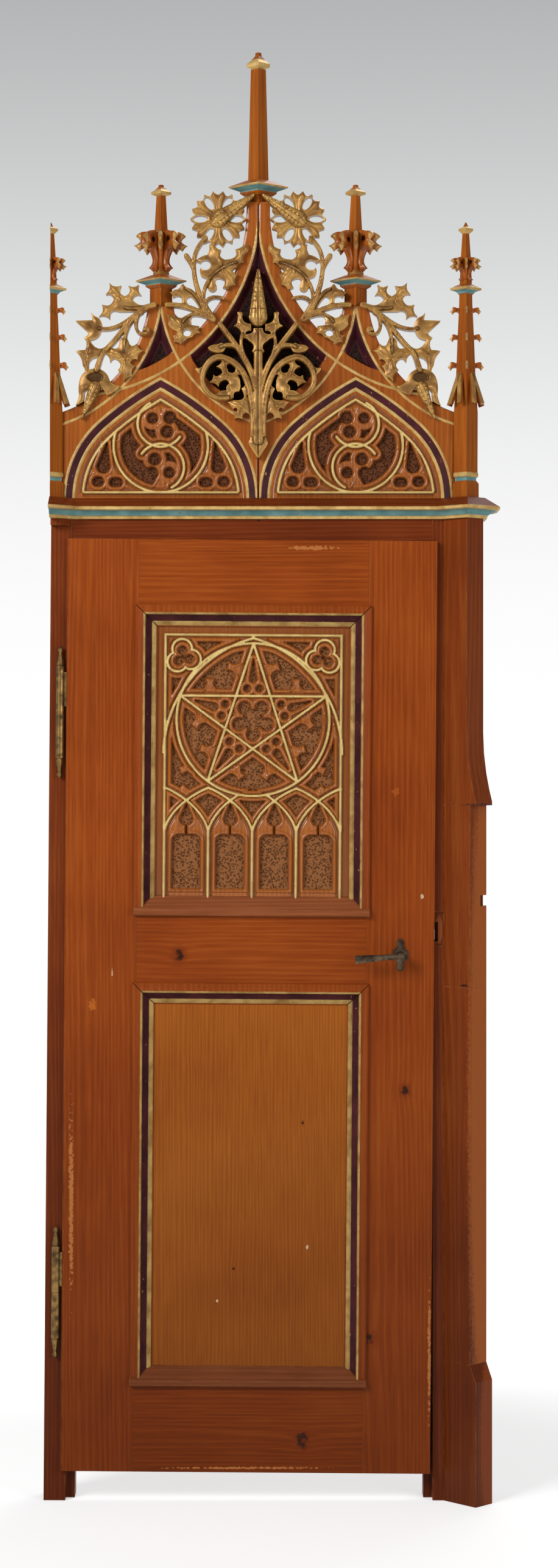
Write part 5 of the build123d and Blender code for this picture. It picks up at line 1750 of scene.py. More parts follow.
@dataclass
class Spray:
    """A pierced and gilded spray of leaves, stems and cobs."""

    crest: Cresting
    name: str
    side: Side
    sheet: Sheet
    step: float = 0.00125
    middle: float = 423.5
    foot: float = 818.0
    stem_rise: float = 0.005
    leaf_rise: float = 0.0062
    vein: float = 0.0021
    proud: float = 0.0075
    grid: float = 0.0015
    margin_steps: int = 12

    def build(self) -> None:
        """Carve the spray and let it stand for its solid."""
        node = f"{self.name}_foliage_{self.side.value}"
        low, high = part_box(node)
        face = low.y + self.proud
        board = CarvedBoard("carved_" + node, self.carve, *self._bounds(), face, high.y, self.grid)
        settle(board.build(Matrix.Identity(4), LEAFWORK.material()), "frame", "gilt_carving", node)

    def _bounds(self) -> tuple[Place, Place]:
        """Lowest and highest place of the drawing, with a margin.

        Returns:
            Both places.
        """
        drawn = [corner[:2] for leaf in self.sheet.leaves for corner in leaf]
        drawn += [place for stem in self.sheet.stems for place in (stem[0], stem[3])]
        drawn += [place for cob in self.sheet.cobs for place in (cob.root, cob.tip)]
        if self.sheet.rosette:
            x, z, reach = self.sheet.rosette
            drawn += [(x - reach, z - reach), (x + reach, z + reach)]
        places = np.array([self._place(place) for place in drawn])
        margin = self.margin_steps * self.step
        return tuple(places.min(0) - margin), tuple(places.max(0) + margin)

    def _place(self, place: Place) -> Place:
        """A place on the sheet, in the frame."""
        return (self.crest.x + self.side.turn * (place[0] - self.middle) * self.step,
                self.crest.base + (self.foot - place[1]) * self.step)

    def carve(self, x: Field, z: Field) -> Carving:
        """Heights and marks of the spray's front.

        Args:
            x, z: places across and up.

        Returns:
            The carving at these places.
        """
        u = (x - self.crest.x) * self.side.turn / self.step + self.middle
        v = self.foot - (z - self.crest.base) / self.step
        leaf, wave = self._leaves(u, v)
        stem, round_of, groove = self._stems(u, v)
        edge = melt(leaf, stem, 2.0)
        swell = 1.0 - np.exp(np.minimum(leaf, 0.0) / 5.0)
        height = np.where(leaf < 0, self.leaf_rise * swell + self.vein * wave * swell, 0.0)
        stalk = np.where(stem < 0, self.leaf_rise * 0.55 + self.stem_rise * round_of, 0.0)
        height = np.maximum(height, stalk)
        # painted shade: dark along the stems' sides, in their grooves and in the leaves' troughs
        dark = np.exp(-(stem / 1.3) ** 2) * (leaf < -1.0) + groove * (stem < 0)
        dark = np.maximum(dark, (wave < -0.55) * ease(-leaf, 1.0, 4.0) * 0.35)
        for hole in self.sheet.holes:
            edge = np.maximum(edge, -self._oval(u, v, hole))
        # the sunk ovals are darkened with painted shade
        for hollow in self.sheet.hollows:
            sunk = ease(-self._oval(u, v, hollow), -0.5, 2.0)
            height = height * (1.0 - sunk) - 0.003 * sunk
            dark = np.maximum(dark, sunk)
        seeds = np.full_like(u, 99.0)
        for cob in self.sheet.cobs:
            outline, dome, chink = cob.relief(u, v)
            edge, seeds = np.minimum(edge, outline), np.minimum(seeds, outline)
            bead = np.maximum(dome * self.step * 0.75 + 0.0022 * (1.0 - chink), 0.002)
            height = np.where(outline < 0, bead, height)
            # painted shade in the cob's chinks and round its outline
            dark = np.where(outline < 0.6, np.maximum(chink, (outline > -0.6) * 0.6), dark)
        if self.sheet.seam is not None:
            chink = np.clip(1.0 - (self.sheet.seam - u) / 1.6, 0.0, 1.0)
            edge, dark = np.maximum(edge, u - self.sheet.seam), np.maximum(dark, chink)
            height = height - 0.0018 * chink
        rim = np.where(seeds < 0, 0.0, np.clip(-edge / 6.0, 0.0, 1.0))
        # the hollow mark carries the painted shade and the dark seam; edge is where the gilding is rubbed
        marks = {"hollow": np.clip(dark, 0.0, 1.0), "edge": rim}
        return Carving(edge * self.step, height, marks)

    def _leaves(self, u: Field, v: Field) -> tuple[Field, Field]:
        """Distance from the leaves, and the waves of their surface.

        Args:
            u, v: places across and up the drawing.

        Returns:
            The distance and the wave at each place.
        """
        reach, wave = np.full_like(u, 99.0), np.zeros_like(u)
        for leaf in self.sheet.leaves:
            outline = bowed(leaf)
            near = inside(u, v, outline)
            tips = np.array([corner[:2] for corner in leaf if corner[2] < -0.12] or [leaf[0][:2]])
            centre = np.array(outline).mean(0)
            bearing = np.arctan2(v - centre[1], u - centre[0])
            ribs = np.zeros_like(u)
            for tip in tips:
                off = np.angle(np.exp(1j * (bearing - math.atan2(tip[1] - centre[1], tip[0] - centre[0]))))
                ribs = np.maximum(ribs, np.exp(-(off / 0.22) ** 2))
            wave = np.where(near < reach, 2.0 * ribs - 1.0, wave)
            reach = np.minimum(reach, near)
        if self.sheet.rosette:
            near, ribs = self._rosette(u, v, *self.sheet.rosette)
            wave = np.where(near < reach, ribs, wave)
            reach = np.minimum(reach, near)
        return reach, wave

    @staticmethod
    def _rosette(u: Field, v: Field, x: float, z: float, reach: float) -> tuple[Field, Field]:
        """Distance from a fan of six joined petals with an almond hole between each two.

        Args:
            u, v: places across and up the drawing.
            x, z: the fan's middle.
            reach: its radius.

        Returns:
            The distance, and the wave of the petals.
        """
        far = np.hypot(u - x, v - z)
        bearing = np.arctan2(z - v, u - x)
        rim = reach - 6.5 * np.abs(np.sin(9 * bearing)) ** 1.2
        sector = (bearing - math.pi / 6) % (math.pi / 3) - math.pi / 6
        across, along = far * np.sin(sector), far * np.cos(sector)
        hole = (np.hypot(across / 6.2, (along - reach * 0.64) / (reach * 0.26)) - 1.0) * 6.2
        return np.maximum(far - rim, -hole), np.abs(np.cos(9 * bearing)) * 2.0 - 1.0

    def _stems(self, u: Field, v: Field) -> tuple[Field, Field, Field]:
        """Distance from the stems, how round they stand and the groove along them.

        Args:
            u, v: places across and up the drawing.

        Returns:
            The distance, the roundness and the groove at each place.
        """
        reach, round_of, groove = np.full_like(u, 99.0), np.zeros_like(u), np.zeros_like(u)
        for first, bend, other, last, start, end in self.sheet.stems:
            line = bezier((first, bend, other, last), 18)
            for number, (a, b) in enumerate(zip(line, line[1:])):
                half = start + (end - start) * (number + 0.5) / (len(line) - 1)
                off = segment(u, v, a, b)
                near = off - half
                share = np.clip(off / half, 0.0, 1.0)
                nearer = near < reach
                dome = np.sqrt(1.0 - share * share) - 0.22 * np.exp(-(share / 0.16) ** 2)
                round_of = np.where(nearer, dome, round_of)
                groove = np.where(nearer, 0.75 * np.exp(-(share / 0.13) ** 2), groove)
                reach = np.minimum(reach, near)
        return reach, round_of, groove

    @staticmethod
    def _oval(u: Field, v: Field, oval: tuple[float, float, float, float]) -> Field:
        """Distance from an oval of a middle and two half lengths, about."""
        x, z, wide, high = oval
        return (np.hypot((u - x) / wide, (v - z) / high) - 1.0) * min(wide, high)


@dataclass(frozen=True)
class Leafwork:
    """Old gilding on carving: bright on tips and edges, with brown painted shade in grooves and chinks."""

    name: str
    gilt: Gilt
    rubbed: Colour = (0.66, 0.4, 0.115)

    @cache
    def material(self) -> Material:
        """The gilding's material, which reads the marks that the carver left on the mesh.

        Returns:
            The finished material.
        """
        paint = Paint(self.name)
        # painted shade: the hollow mark darkens the gilding in grooves, chinks and crevices
        layer = self.gilt.layer(paint, paint.attribute("hollow") * 0.8)
        patches = paint.noise(60.0, 3.0).step(0.35, 0.6)
        rubbed = (1.0 - paint.attribute("edge").step(0.02, 0.35)) * patches
        rubbed = rubbed * (1.0 - paint.attribute("hollow"))
        layer = layer.covered(rubbed * 0.6, Layer(self.rubbed, 0.34, 0.3, layer.height))
        return paint.close(layer, None, 0.0007, 0.3)


LEAFWORK = Leafwork("gilt_leafwork", Gilt("leaf_gilding", (0.5, 0.27, 0.07), (0.25, 0.11, 0.026),
                                          (0.04, 0.016, 0.006), 0.3, 0.33))

OUTER = Sheet(
    leaves=(
        ((253, 498, 0), (236, 503, -0.12), (217, 493, -0.25), (233, 487, -0.22), (231, 464, -0.25),
         (210, 470, -0.31), (205, 488, -0.31), (200, 470, -0.22), (178, 463, -0.22), (172, 486, -0.28),
         (187, 493, -0.28), (167, 501, -0.22), (161, 522, -0.2), (181, 526, -0.42), (196, 513, 0),
         (220, 513, 0), (252, 506, 0)),
        ((182, 565, -0.36), (147, 557, 0), (139, 556, -0.15), (140, 576, 0.05), (125, 578, -0.1),
         (136, 602, -0.1), (140, 612, 0), (147, 612, -0.33), (166, 587, 0), (177, 576, 0)),
        ((124, 528, 0), (152, 527, 0), (149, 511, -0.12), (157, 521, 0), (163, 524, 0.15),
         (166, 545, 0.15), (152, 559, 0.1), (137, 556, -0.12), (146, 548, 0)),
        ((200, 556, 0), (208, 556, 0), (211, 561, -0.45), (225, 565, -0.2), (236, 577, -0.2),
         (226, 592, -0.25), (214, 597, -0.1), (222, 602, -0.2), (217, 618, -0.1), (202, 628, -0.2),
         (193, 609, -0.2), (197, 597, -0.5), (180, 600, -0.2), (170, 580, -0.25), (181, 571, -0.45),
         (196, 562, 0)),
        ((150, 607, 0.08), (168, 609, 0.12), (180, 626, -0.12), (197, 635, 0.05), (189, 643, 0.05),
         (175, 650, -0.1), (166, 638, 0), (152, 638, -0.15), (139, 646, 0.05), (137, 660, 0.05),
         (124, 667, -0.05), (130, 650, 0.05), (131, 625, 0.15)),
    ),
    stems=(
        ((253, 502), (240, 506), (222, 511), (205, 507), 4.4, 2.2),
        ((240, 508), (215, 518), (200, 546), (163, 541), 3.4, 2.8),
        ((232, 513), (208, 528), (196, 556), (173, 576), 4.2, 3.8),
        ((174, 574), (165, 585), (163, 595), (159, 609), 3.2, 4.6),
        ((227, 518), (218, 538), (226, 554), (240, 549), 3.0, 2.6),
        ((240, 549), (247, 545), (243, 538), (238, 542), 2.8, 3.4),
        ((221, 522), (209, 534), (204, 548), (204, 580), 4.2, 2.2),
    ),
    cobs=(Cob((160, 628), (134, 689), 10.5, 9),),
    hollows=((157, 621, 14, 8.5),),
)
INNER = Sheet(
    leaves=(
        ((297, 470, 0), (300, 467, 0), (306, 474, 0.12), (320, 482, 0.1), (334, 509, 0),
         (327, 508, -0.06), (313, 488, -0.4), (309, 501, 0.1), (298, 501, -0.1), (297, 489, -0.2),
         (284, 491, -0.2), (276, 481, -0.2), (286, 477, -0.2)),
        ((321, 431, 0.1), (340, 420, -0.1), (343, 403, -0.05), (352, 401, -0.2), (363, 412, -0.3),
         (369, 428, 0), (378, 427, -0.3), (386, 411, -0.1), (403, 401, 0.2), (406, 415, -0.2),
         (400, 433, -0.2), (388, 441, -0.2), (381, 447, -0.1), (392, 452, -0.22), (387, 470, -0.22),
         (375, 477, 0), (365, 474, -0.15), (368, 461, -0.62), (356, 473, 0.2), (348, 480, 0.2),
         (341, 472, -0.1), (343, 458, 0.1), (331, 455, 0.2), (331, 439, -0.2)),
        ((273, 516, -0.2), (288, 517, -0.2), (299, 523, 0.1), (313, 519, 0.1), (313, 535, 0),
         (327, 537, -0.2), (330, 549, -0.2), (315, 555, -0.1), (304, 560, -0.1), (297, 567, -0.15),
         (285, 563, -0.15), (283, 552, -0.35), (290, 545, 0.1), (276, 534, -0.1)),
    ),
    stems=(
        ((274, 502), (305, 501), (325, 511), (350, 526), 3.6, 4.6),
        ((349, 524), (325, 490), (318, 462), (318, 438), 5.0, 3.4),
        ((318, 440), (317, 420), (324, 404), (338, 392), 3.4, 3.0),
        ((318, 446), (316, 438), (312, 430), (306, 422), 3.0, 4.2),
        ((341, 514), (329, 494), (348, 484), (367, 492), 3.2, 2.4),
        ((335, 500), (328, 470), (350, 442), (388, 433), 3.2, 1.8),
        ((349, 525), (326, 514), (309, 514), (301, 530), 3.4, 2.4),
        ((336, 512), (327, 495), (320, 483), (306, 476), 3.2, 2.4),
    ),
    cobs=(Cob((346, 371), (417, 321), 15.0, 12),),
    holes=((337, 437, 9.0, 8.5), (307, 548, 6.5, 6.0), (321, 527, 8.5, 5.0)),
    rosette=(358, 361, 46),
)
CENTRE = Sheet(
    leaves=(
        ((425, 541, 0), (425, 583, 0), (413, 579, -0.3), (409, 562, -0.1), (399, 556, 0),
         (402, 550, -0.15), (414, 548, -0.1), (416, 541, 0)),
        ((365, 589, -0.15), (378, 598, -0.3), (372, 606, 0.1), (374, 612, -0.42), (387, 605, -0.15),
         (402, 611, -0.15), (400, 620, -0.25), (390, 618, 0.1), (394, 631, 0.15), (388, 649, 0.15),
         (368, 658, 0.1), (352, 652, 0), (358, 647, 0.12), (372, 643, 0.2), (376, 632, -0.3),
         (366, 626, -0.2), (359, 637, -0.15), (342, 630, -0.2), (350, 616, -0.3), (360, 618, -0.35),
         (362, 607, -0.1), (353, 604, -0.2)),
        ((320, 606, -0.2), (336, 599, 0), (331, 618, 0.1)),
        ((389, 515, 0.12), (398, 516, -0.3), (412, 534, 0), (412, 545, -0.25), (401, 553, 0),
         (395, 553, -0.2), (391, 541, -0.1), (378, 537, -0.28), (390, 525, -0.1)),
        ((341, 573, 0.1), (352, 568, -0.1), (362, 565, 0.1), (370, 570, 0.1), (366, 579, 0.1),
         (352, 580, 0.1)),
        ((404, 634, 0.1), (411, 644, -0.3), (406, 657, 0.08), (414, 670, 0.1), (419, 694, 0),
         (414, 692, -0.2), (403, 679, -0.25), (399, 691, -0.2), (384, 690, -0.2), (382, 679, -0.2),
         (379, 669, -0.15), (369, 661, -0.1), (384, 659, -0.5), (396, 640, 0)),
        ((425, 716, 0), (425, 757, 0), (410, 734, 0.2), (410, 723, 0.15), (415, 716, 0)),
    ),
    stems=(
        ((421, 582), (421, 630), (421, 680), (421, 726), 4.6, 6.4),
        ((416, 715), (416, 640), (404, 596), (362, 588), 5.6, 4.4),
        ((364, 588), (340, 585), (322, 622), (338, 642), 4.4, 4.2),
        ((337, 640), (343, 652), (358, 658), (374, 655), 4.2, 3.4),
        ((420, 640), (410, 595), (390, 572), (361, 534), 5.0, 3.8),
        ((401, 588), (394, 572), (394, 560), (398, 551), 3.2, 2.4),
        ((398, 580), (386, 566), (372, 567), (362, 572), 3.2, 3.0),
    ),
    cobs=(Cob((423.5, 538), (423.5, 444), 16.5, 14),),
    holes=((389.5, 651, 6.5, 6.5), (386, 675, 3.6, 3.6)),
    seam=423.45,
)


# Joinery

def banded_up(node: str, bands: Bands, soft: float = 0.0008) -> Material:
    """Turned pine with bands whose starts are shares of a node's height.

    Args:
        node: the node's name.
        bands: starts of the bands with their coats.
        soft: how soft a band's edge is.

    Returns:
        The finished material.
    """
    low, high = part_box(node)
    rise = high.z - low.z
    finish = Banded(node + "_bands", SPIRE, bands, soft / rise)
    return finish.material(lambda paint: ((paint.axes()[2] - low.z) / rise, None))


@dataclass
class Joinery:
    """The pieces whose solids are right as they are: boards, mouldings, cornice and metalwork."""

    frame: dict[str, Any]
    hang: Hang
    leaf_bands: Bands = (
        (0.0, Trim.WOOD), (0.016, Trim.DULL), (0.0206, Trim.PURPLE), (0.033, Trim.DULL),
        (0.042, Trim.WOOD),
    )
    cornice_bands: Bands = (
        (0.0, Trim.GOLD), (0.0062, Trim.TEAL), (0.0165, Trim.GOLD), (0.0242, Trim.WOOD),
    )
    abacus_bands: Bands = ((0.0, Trim.WOOD), (0.24, Trim.TEAL), (0.5, Trim.GOLD), (0.62, Trim.WOOD))
    centre_bands: Bands = ((0.0, Trim.WOOD), (0.866, Trim.GOLD), (0.945, Trim.WOOD))
    spire_bands: Bands = ((0.0, Trim.WOOD), (0.755, Trim.GOLD), (0.9, Trim.WOOD))

    def dress(self, node: str, material: Material) -> None:
        """Give a node of the frame a material.

        Args:
            node: the node's name.
            material: its finish.
        """
        mesh = self.frame["nodes"][node].data
        mesh.materials.clear()
        mesh.materials.append(material)
        LOG.info("%s: %s", node, material.name)

    def build(self) -> None:
        """Dress every piece that stays as it is."""
        finishes: dict[Any, str] = {
            HINGE_STILE: "hinge_stile", LOCK_STILE: "lock_stile", TOP_RAIL: "top_rail",
            LOCK_RAIL: "lock_rail", BOTTOM_RAIL: "bottom_rail", SILL: "upper_sill lower_sill",
            LOWER_FIELD: "lower_panel",
            JAMB: "left_jamb left_post_stub", RIGHT_JAMB: "right_jamb", HEAD: "frame_head",
            UPPER_POST: "right_post_upper", LOWER_POST: "right_post_middle right_post_lower",
            PLINTH: "right_plinth",
            BRASS: "upper_hinge_door_half upper_hinge_jamb_half upper_hinge_pin "
                   "lower_hinge_door_half lower_hinge_jamb_half lower_hinge_pin",
            BRONZE: "rose_front rose_back rose_screws lever_front lever_back",
            STEEL: "lock_case lock_forend latch_bolt spindle follower",
        }
        for finish, nodes in finishes.items():
            for node in nodes.split():
                self.dress(node, finish.material())
        self._stacks()
        self._mouldings()

    def _stacks(self) -> None:
        """The cornice, the abaci and the spires, which are banded up their height."""
        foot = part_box("cornice")[0].z
        cornice = Banded("cornice_bands", FRIEZE, self.cornice_bands)
        self.dress("cornice", cornice.material(lambda paint: (paint.axes()[2] - foot, None)))
        for nodes, bands in (
            ("centre_abacus mid_abacus_left mid_abacus_right", self.abacus_bands),
            ("centre_spire", self.centre_bands), ("mid_spire_left mid_spire_right", self.spire_bands),
        ):
            for node in nodes.split():
                self.dress(node, banded_up(node, bands))

    def _mouldings(self) -> None:
        """The mouldings round both panels, banded from their outer edge inwards."""
        nodes = self.frame["nodes"]
        for level in ("upper", "lower"):
            sides = [level + "_moulding_" + side for side in ("left", "right", "top")]
            left = self.hang.box(nodes[sides[0]])[0].x
            right = self.hang.box(nodes[sides[1]])[1].x
            top = self.hang.box(nodes[sides[2]])[1].z

            def inward(paint: Paint) -> tuple[Value, Value]:
                """Distance from the moulding's outer edge, and from the nearer of its two mitres.

                Args:
                    paint: the material that is being painted.

                Returns:
                    Both distances at each place.
                """
                x, _, z = paint.axes(self.hang.plumb(paint))
                side, head = (x - left).least(right - x), top - z
                return side.least(head), (side - head) * 0.7

            material = Banded(level + "_moulding_bands", STILE, self.leaf_bands).material(inward)
            for node in sides:
                self.dress(node, material)


# Pinnacles

def turned(name: str, profile: Sequence[Place], sides: int, axis: Vector) -> Mesh:
    """A closed solid with an upright axis.

    Args:
        name: of the mesh.
        profile: reach and height of each level, from the bottom up.
        sides: how many corners a level has; the first one lies to the right.
        axis: where the axis stands, and the height that the profile starts from.

    Returns:
        The mesh.
    """
    bearings = np.arange(sides) * math.tau / sides
    verts = [(axis.x + reach * math.cos(t), axis.y + reach * math.sin(t), axis.z + rise)
             for reach, rise in profile for t in bearings]
    faces = [tuple(reversed(range(sides))), tuple(range(len(verts) - sides, len(verts)))]
    for first in range(0, len(verts) - sides, sides):
        ring = [first + i for i in range(sides)]
        faces += [(a, b, b + sides, a + sides) for a, b in zip(ring, ring[1:] + ring[:1])]
    mesh = bpy.data.meshes.new(name)
    mesh.from_pydata(verts, [], faces)
    return mesh


def joined(name: str, meshes: Sequence[Mesh]) -> Mesh:
    """Several meshes as one.

    Args:
        name: what the new mesh is called.
        meshes: what it is made of.

    Returns:
        The new mesh.
    """
    shape = bmesh.new()
    for mesh in meshes:
        shape.from_mesh(mesh)
    whole = bpy.data.meshes.new(name)
    shape.to_mesh(whole)
    shape.free()
    return whole


class Ring(Tree):
    """Geometry Nodes that set copies of a leaf round an upright axis."""

    uneven: float = 0.06

    def __init__(self) -> None:
        """Build the tree."""
        self.tree = bpy.data.node_groups.new("ring_of_leaves", "GeometryNodeTree")
        kinds = {"Leaf": "Object", "Count": "Int", "Turn": "Float", "Uneven": "Float", "Seed": "Int",
                 "Finish": "Material"}
        sockets = self.tree.interface
        self.names = [
            sockets.new_socket(name, in_out="INPUT", socket_type="NodeSocket" + kind).identifier
            for name, kind in kinds.items()
        ]
        sockets.new_socket("Geometry", in_out="OUTPUT", socket_type="NodeSocketGeometry")
        leaf, count, turn, uneven, seed, finish = self.several("NodeGroupInput", {}, *kinds)
        line = self.node("GeometryNodeMeshLine", {}, {"Count": count, "Offset": (0.0, 0.0, 0.0)})
        shape = self.node("GeometryNodeObjectInfo", {}, {"Object": leaf}, "Geometry")
        bearing = self.node("GeometryNodeInputIndex", {}, {}) * turn
        upright = self.node("ShaderNodeCombineXYZ", {}, {"Z": bearing})
        way = self.node("FunctionNodeEulerToRotation", {}, {"Euler": upright})
        chance = {2: 1.0 - uneven, 3: 1.0, "Seed": seed}
        size = self.node("FunctionNodeRandomValue", {"data_type": "FLOAT"}, chance, 1)
        spread = {"Points": line, "Instance": shape, "Rotation": way, "Scale": size}
        copies = self.node("GeometryNodeInstanceOnPoints", {}, spread)
        real = self.node("GeometryNodeRealizeInstances", {}, {"Geometry": copies})
        made = self.node("GeometryNodeSetMaterial", {}, {"Geometry": real, "Material": finish})
        self.join(made, "NodeGroupOutput")

    def mesh(self, leaf: Object, count: int, place: Vector, finish: Material,
             first: float = 0.0, size: float = 1.0, seed: int = 7) -> Mesh:
        """Copies of a leaf as a plain mesh.

        Args:
            leaf: reaches out along x from the axis.
            count: of copies, evenly round.
            place: where the axis stands, and the height of the leaf's foot.
            finish: material of the copies.
            first: bearing of the first copy in degrees.
            size: of the copies.
            seed: of their unevenness.

        Returns:
            The mesh, in place.
        """
        host = linked("ring", bpy.data.meshes.new("ring"))
        modifier = host.modifiers.new("ring", "NODES")
        modifier.node_group = self.tree
        given = (leaf, count, math.tau / count, self.uneven, seed, finish)
        for identifier, value in zip(self.names, given):
            modifier[identifier] = value
        ready = host.evaluated_get(bpy.context.evaluated_depsgraph_get())
        mesh = bpy.data.meshes.new_from_object(ready)
        host.modifiers.clear()
        bpy.data.objects.remove(host)
        turn = Matrix.Rotation(math.radians(first), 4, "Z") @ Matrix.Scale(size, 4)
        mesh.transform(Matrix.Translation(place) @ turn)
        return mesh


@dataclass(frozen=True)
class Sprig:
    """A curled leaf that stands out from a shaft, drawn from the axis outwards and up from its foot."""

    name: str
    outline: tuple[Corner, ...]
    tip: float
    eye: tuple[float, float, float]
    thickness: float = 0.011
    step: float = 0.00125
    pitch: float = 0.0022
    core: float = 0.0015
    margin: float = 0.006

    def carve(self, x: Field, z: Field) -> Carving:
        """Heights and marks of one face of the leaf.

        Args:
            x, z: places across and up.

        Returns:
            The carving at these places.
        """
        u, v = x / self.step, z / self.step
        edge = inside(u, v, bowed(self.outline))
        swell = 1.0 - np.exp(np.minimum(edge, 0.0) / 3.5)
        eye = disc(u, v, self.eye[:2], self.eye[2])
        sunk = 1.0 - ease(eye, -1.5, 1.0)
        height = (self.thickness / 2 - self.core) * swell * (1.0 - 0.7 * sunk)
        # painted shade in the sunk eye, dark ground where it is deepest
        marks = {"hollow": sunk, "gold": (self.tip - u) * self.step, "purple": np.ones_like(u)}
        return Carving(edge * self.step, height, marks)

    def build(self, material: Material) -> Object:
        """The leaf on its own, to be copied.

        Args:
            material: the leaf's finish.

        Returns:
            The finished object.
        """
        reach = np.array([corner[:2] for corner in self.outline]) * self.step
        low, high = reach.min(0) - self.margin, reach.max(0) + self.margin
        board = CarvedBoard(self.name, self.carve, tuple(low), tuple(high), -self.core, self.core,
                            self.pitch, True)
        return board.build(Matrix.Identity(4), material)


CROWN_LEAF = Sprig("crown_leaf", (
    (6, 74, 0.1), (24, 72, 0.15), (42, 64, -0.1), (34, 56, -0.1), (45, 49, -0.1), (36, 39, -0.42),
    (17, 35, -0.05), (14, 23, -0.12), (21, 12, -0.1), (14, 6, 0), (4, 6, 0),
), 33.0, (21, 60, 4.6), 0.0125)
CROCKET = Sprig("crocket", (
    (3, 12, 0), (8, 14, 0.1), (17, 17, 0.1), (26, 18, -0.15), (30, 10, -0.1), (25, 2, -0.3), (15, 8, 0.05),
    (9, 0, 0), (3, -4, 0),
), 25.0, (17, 12.5, 1.6), 0.009, pitch=0.0018)


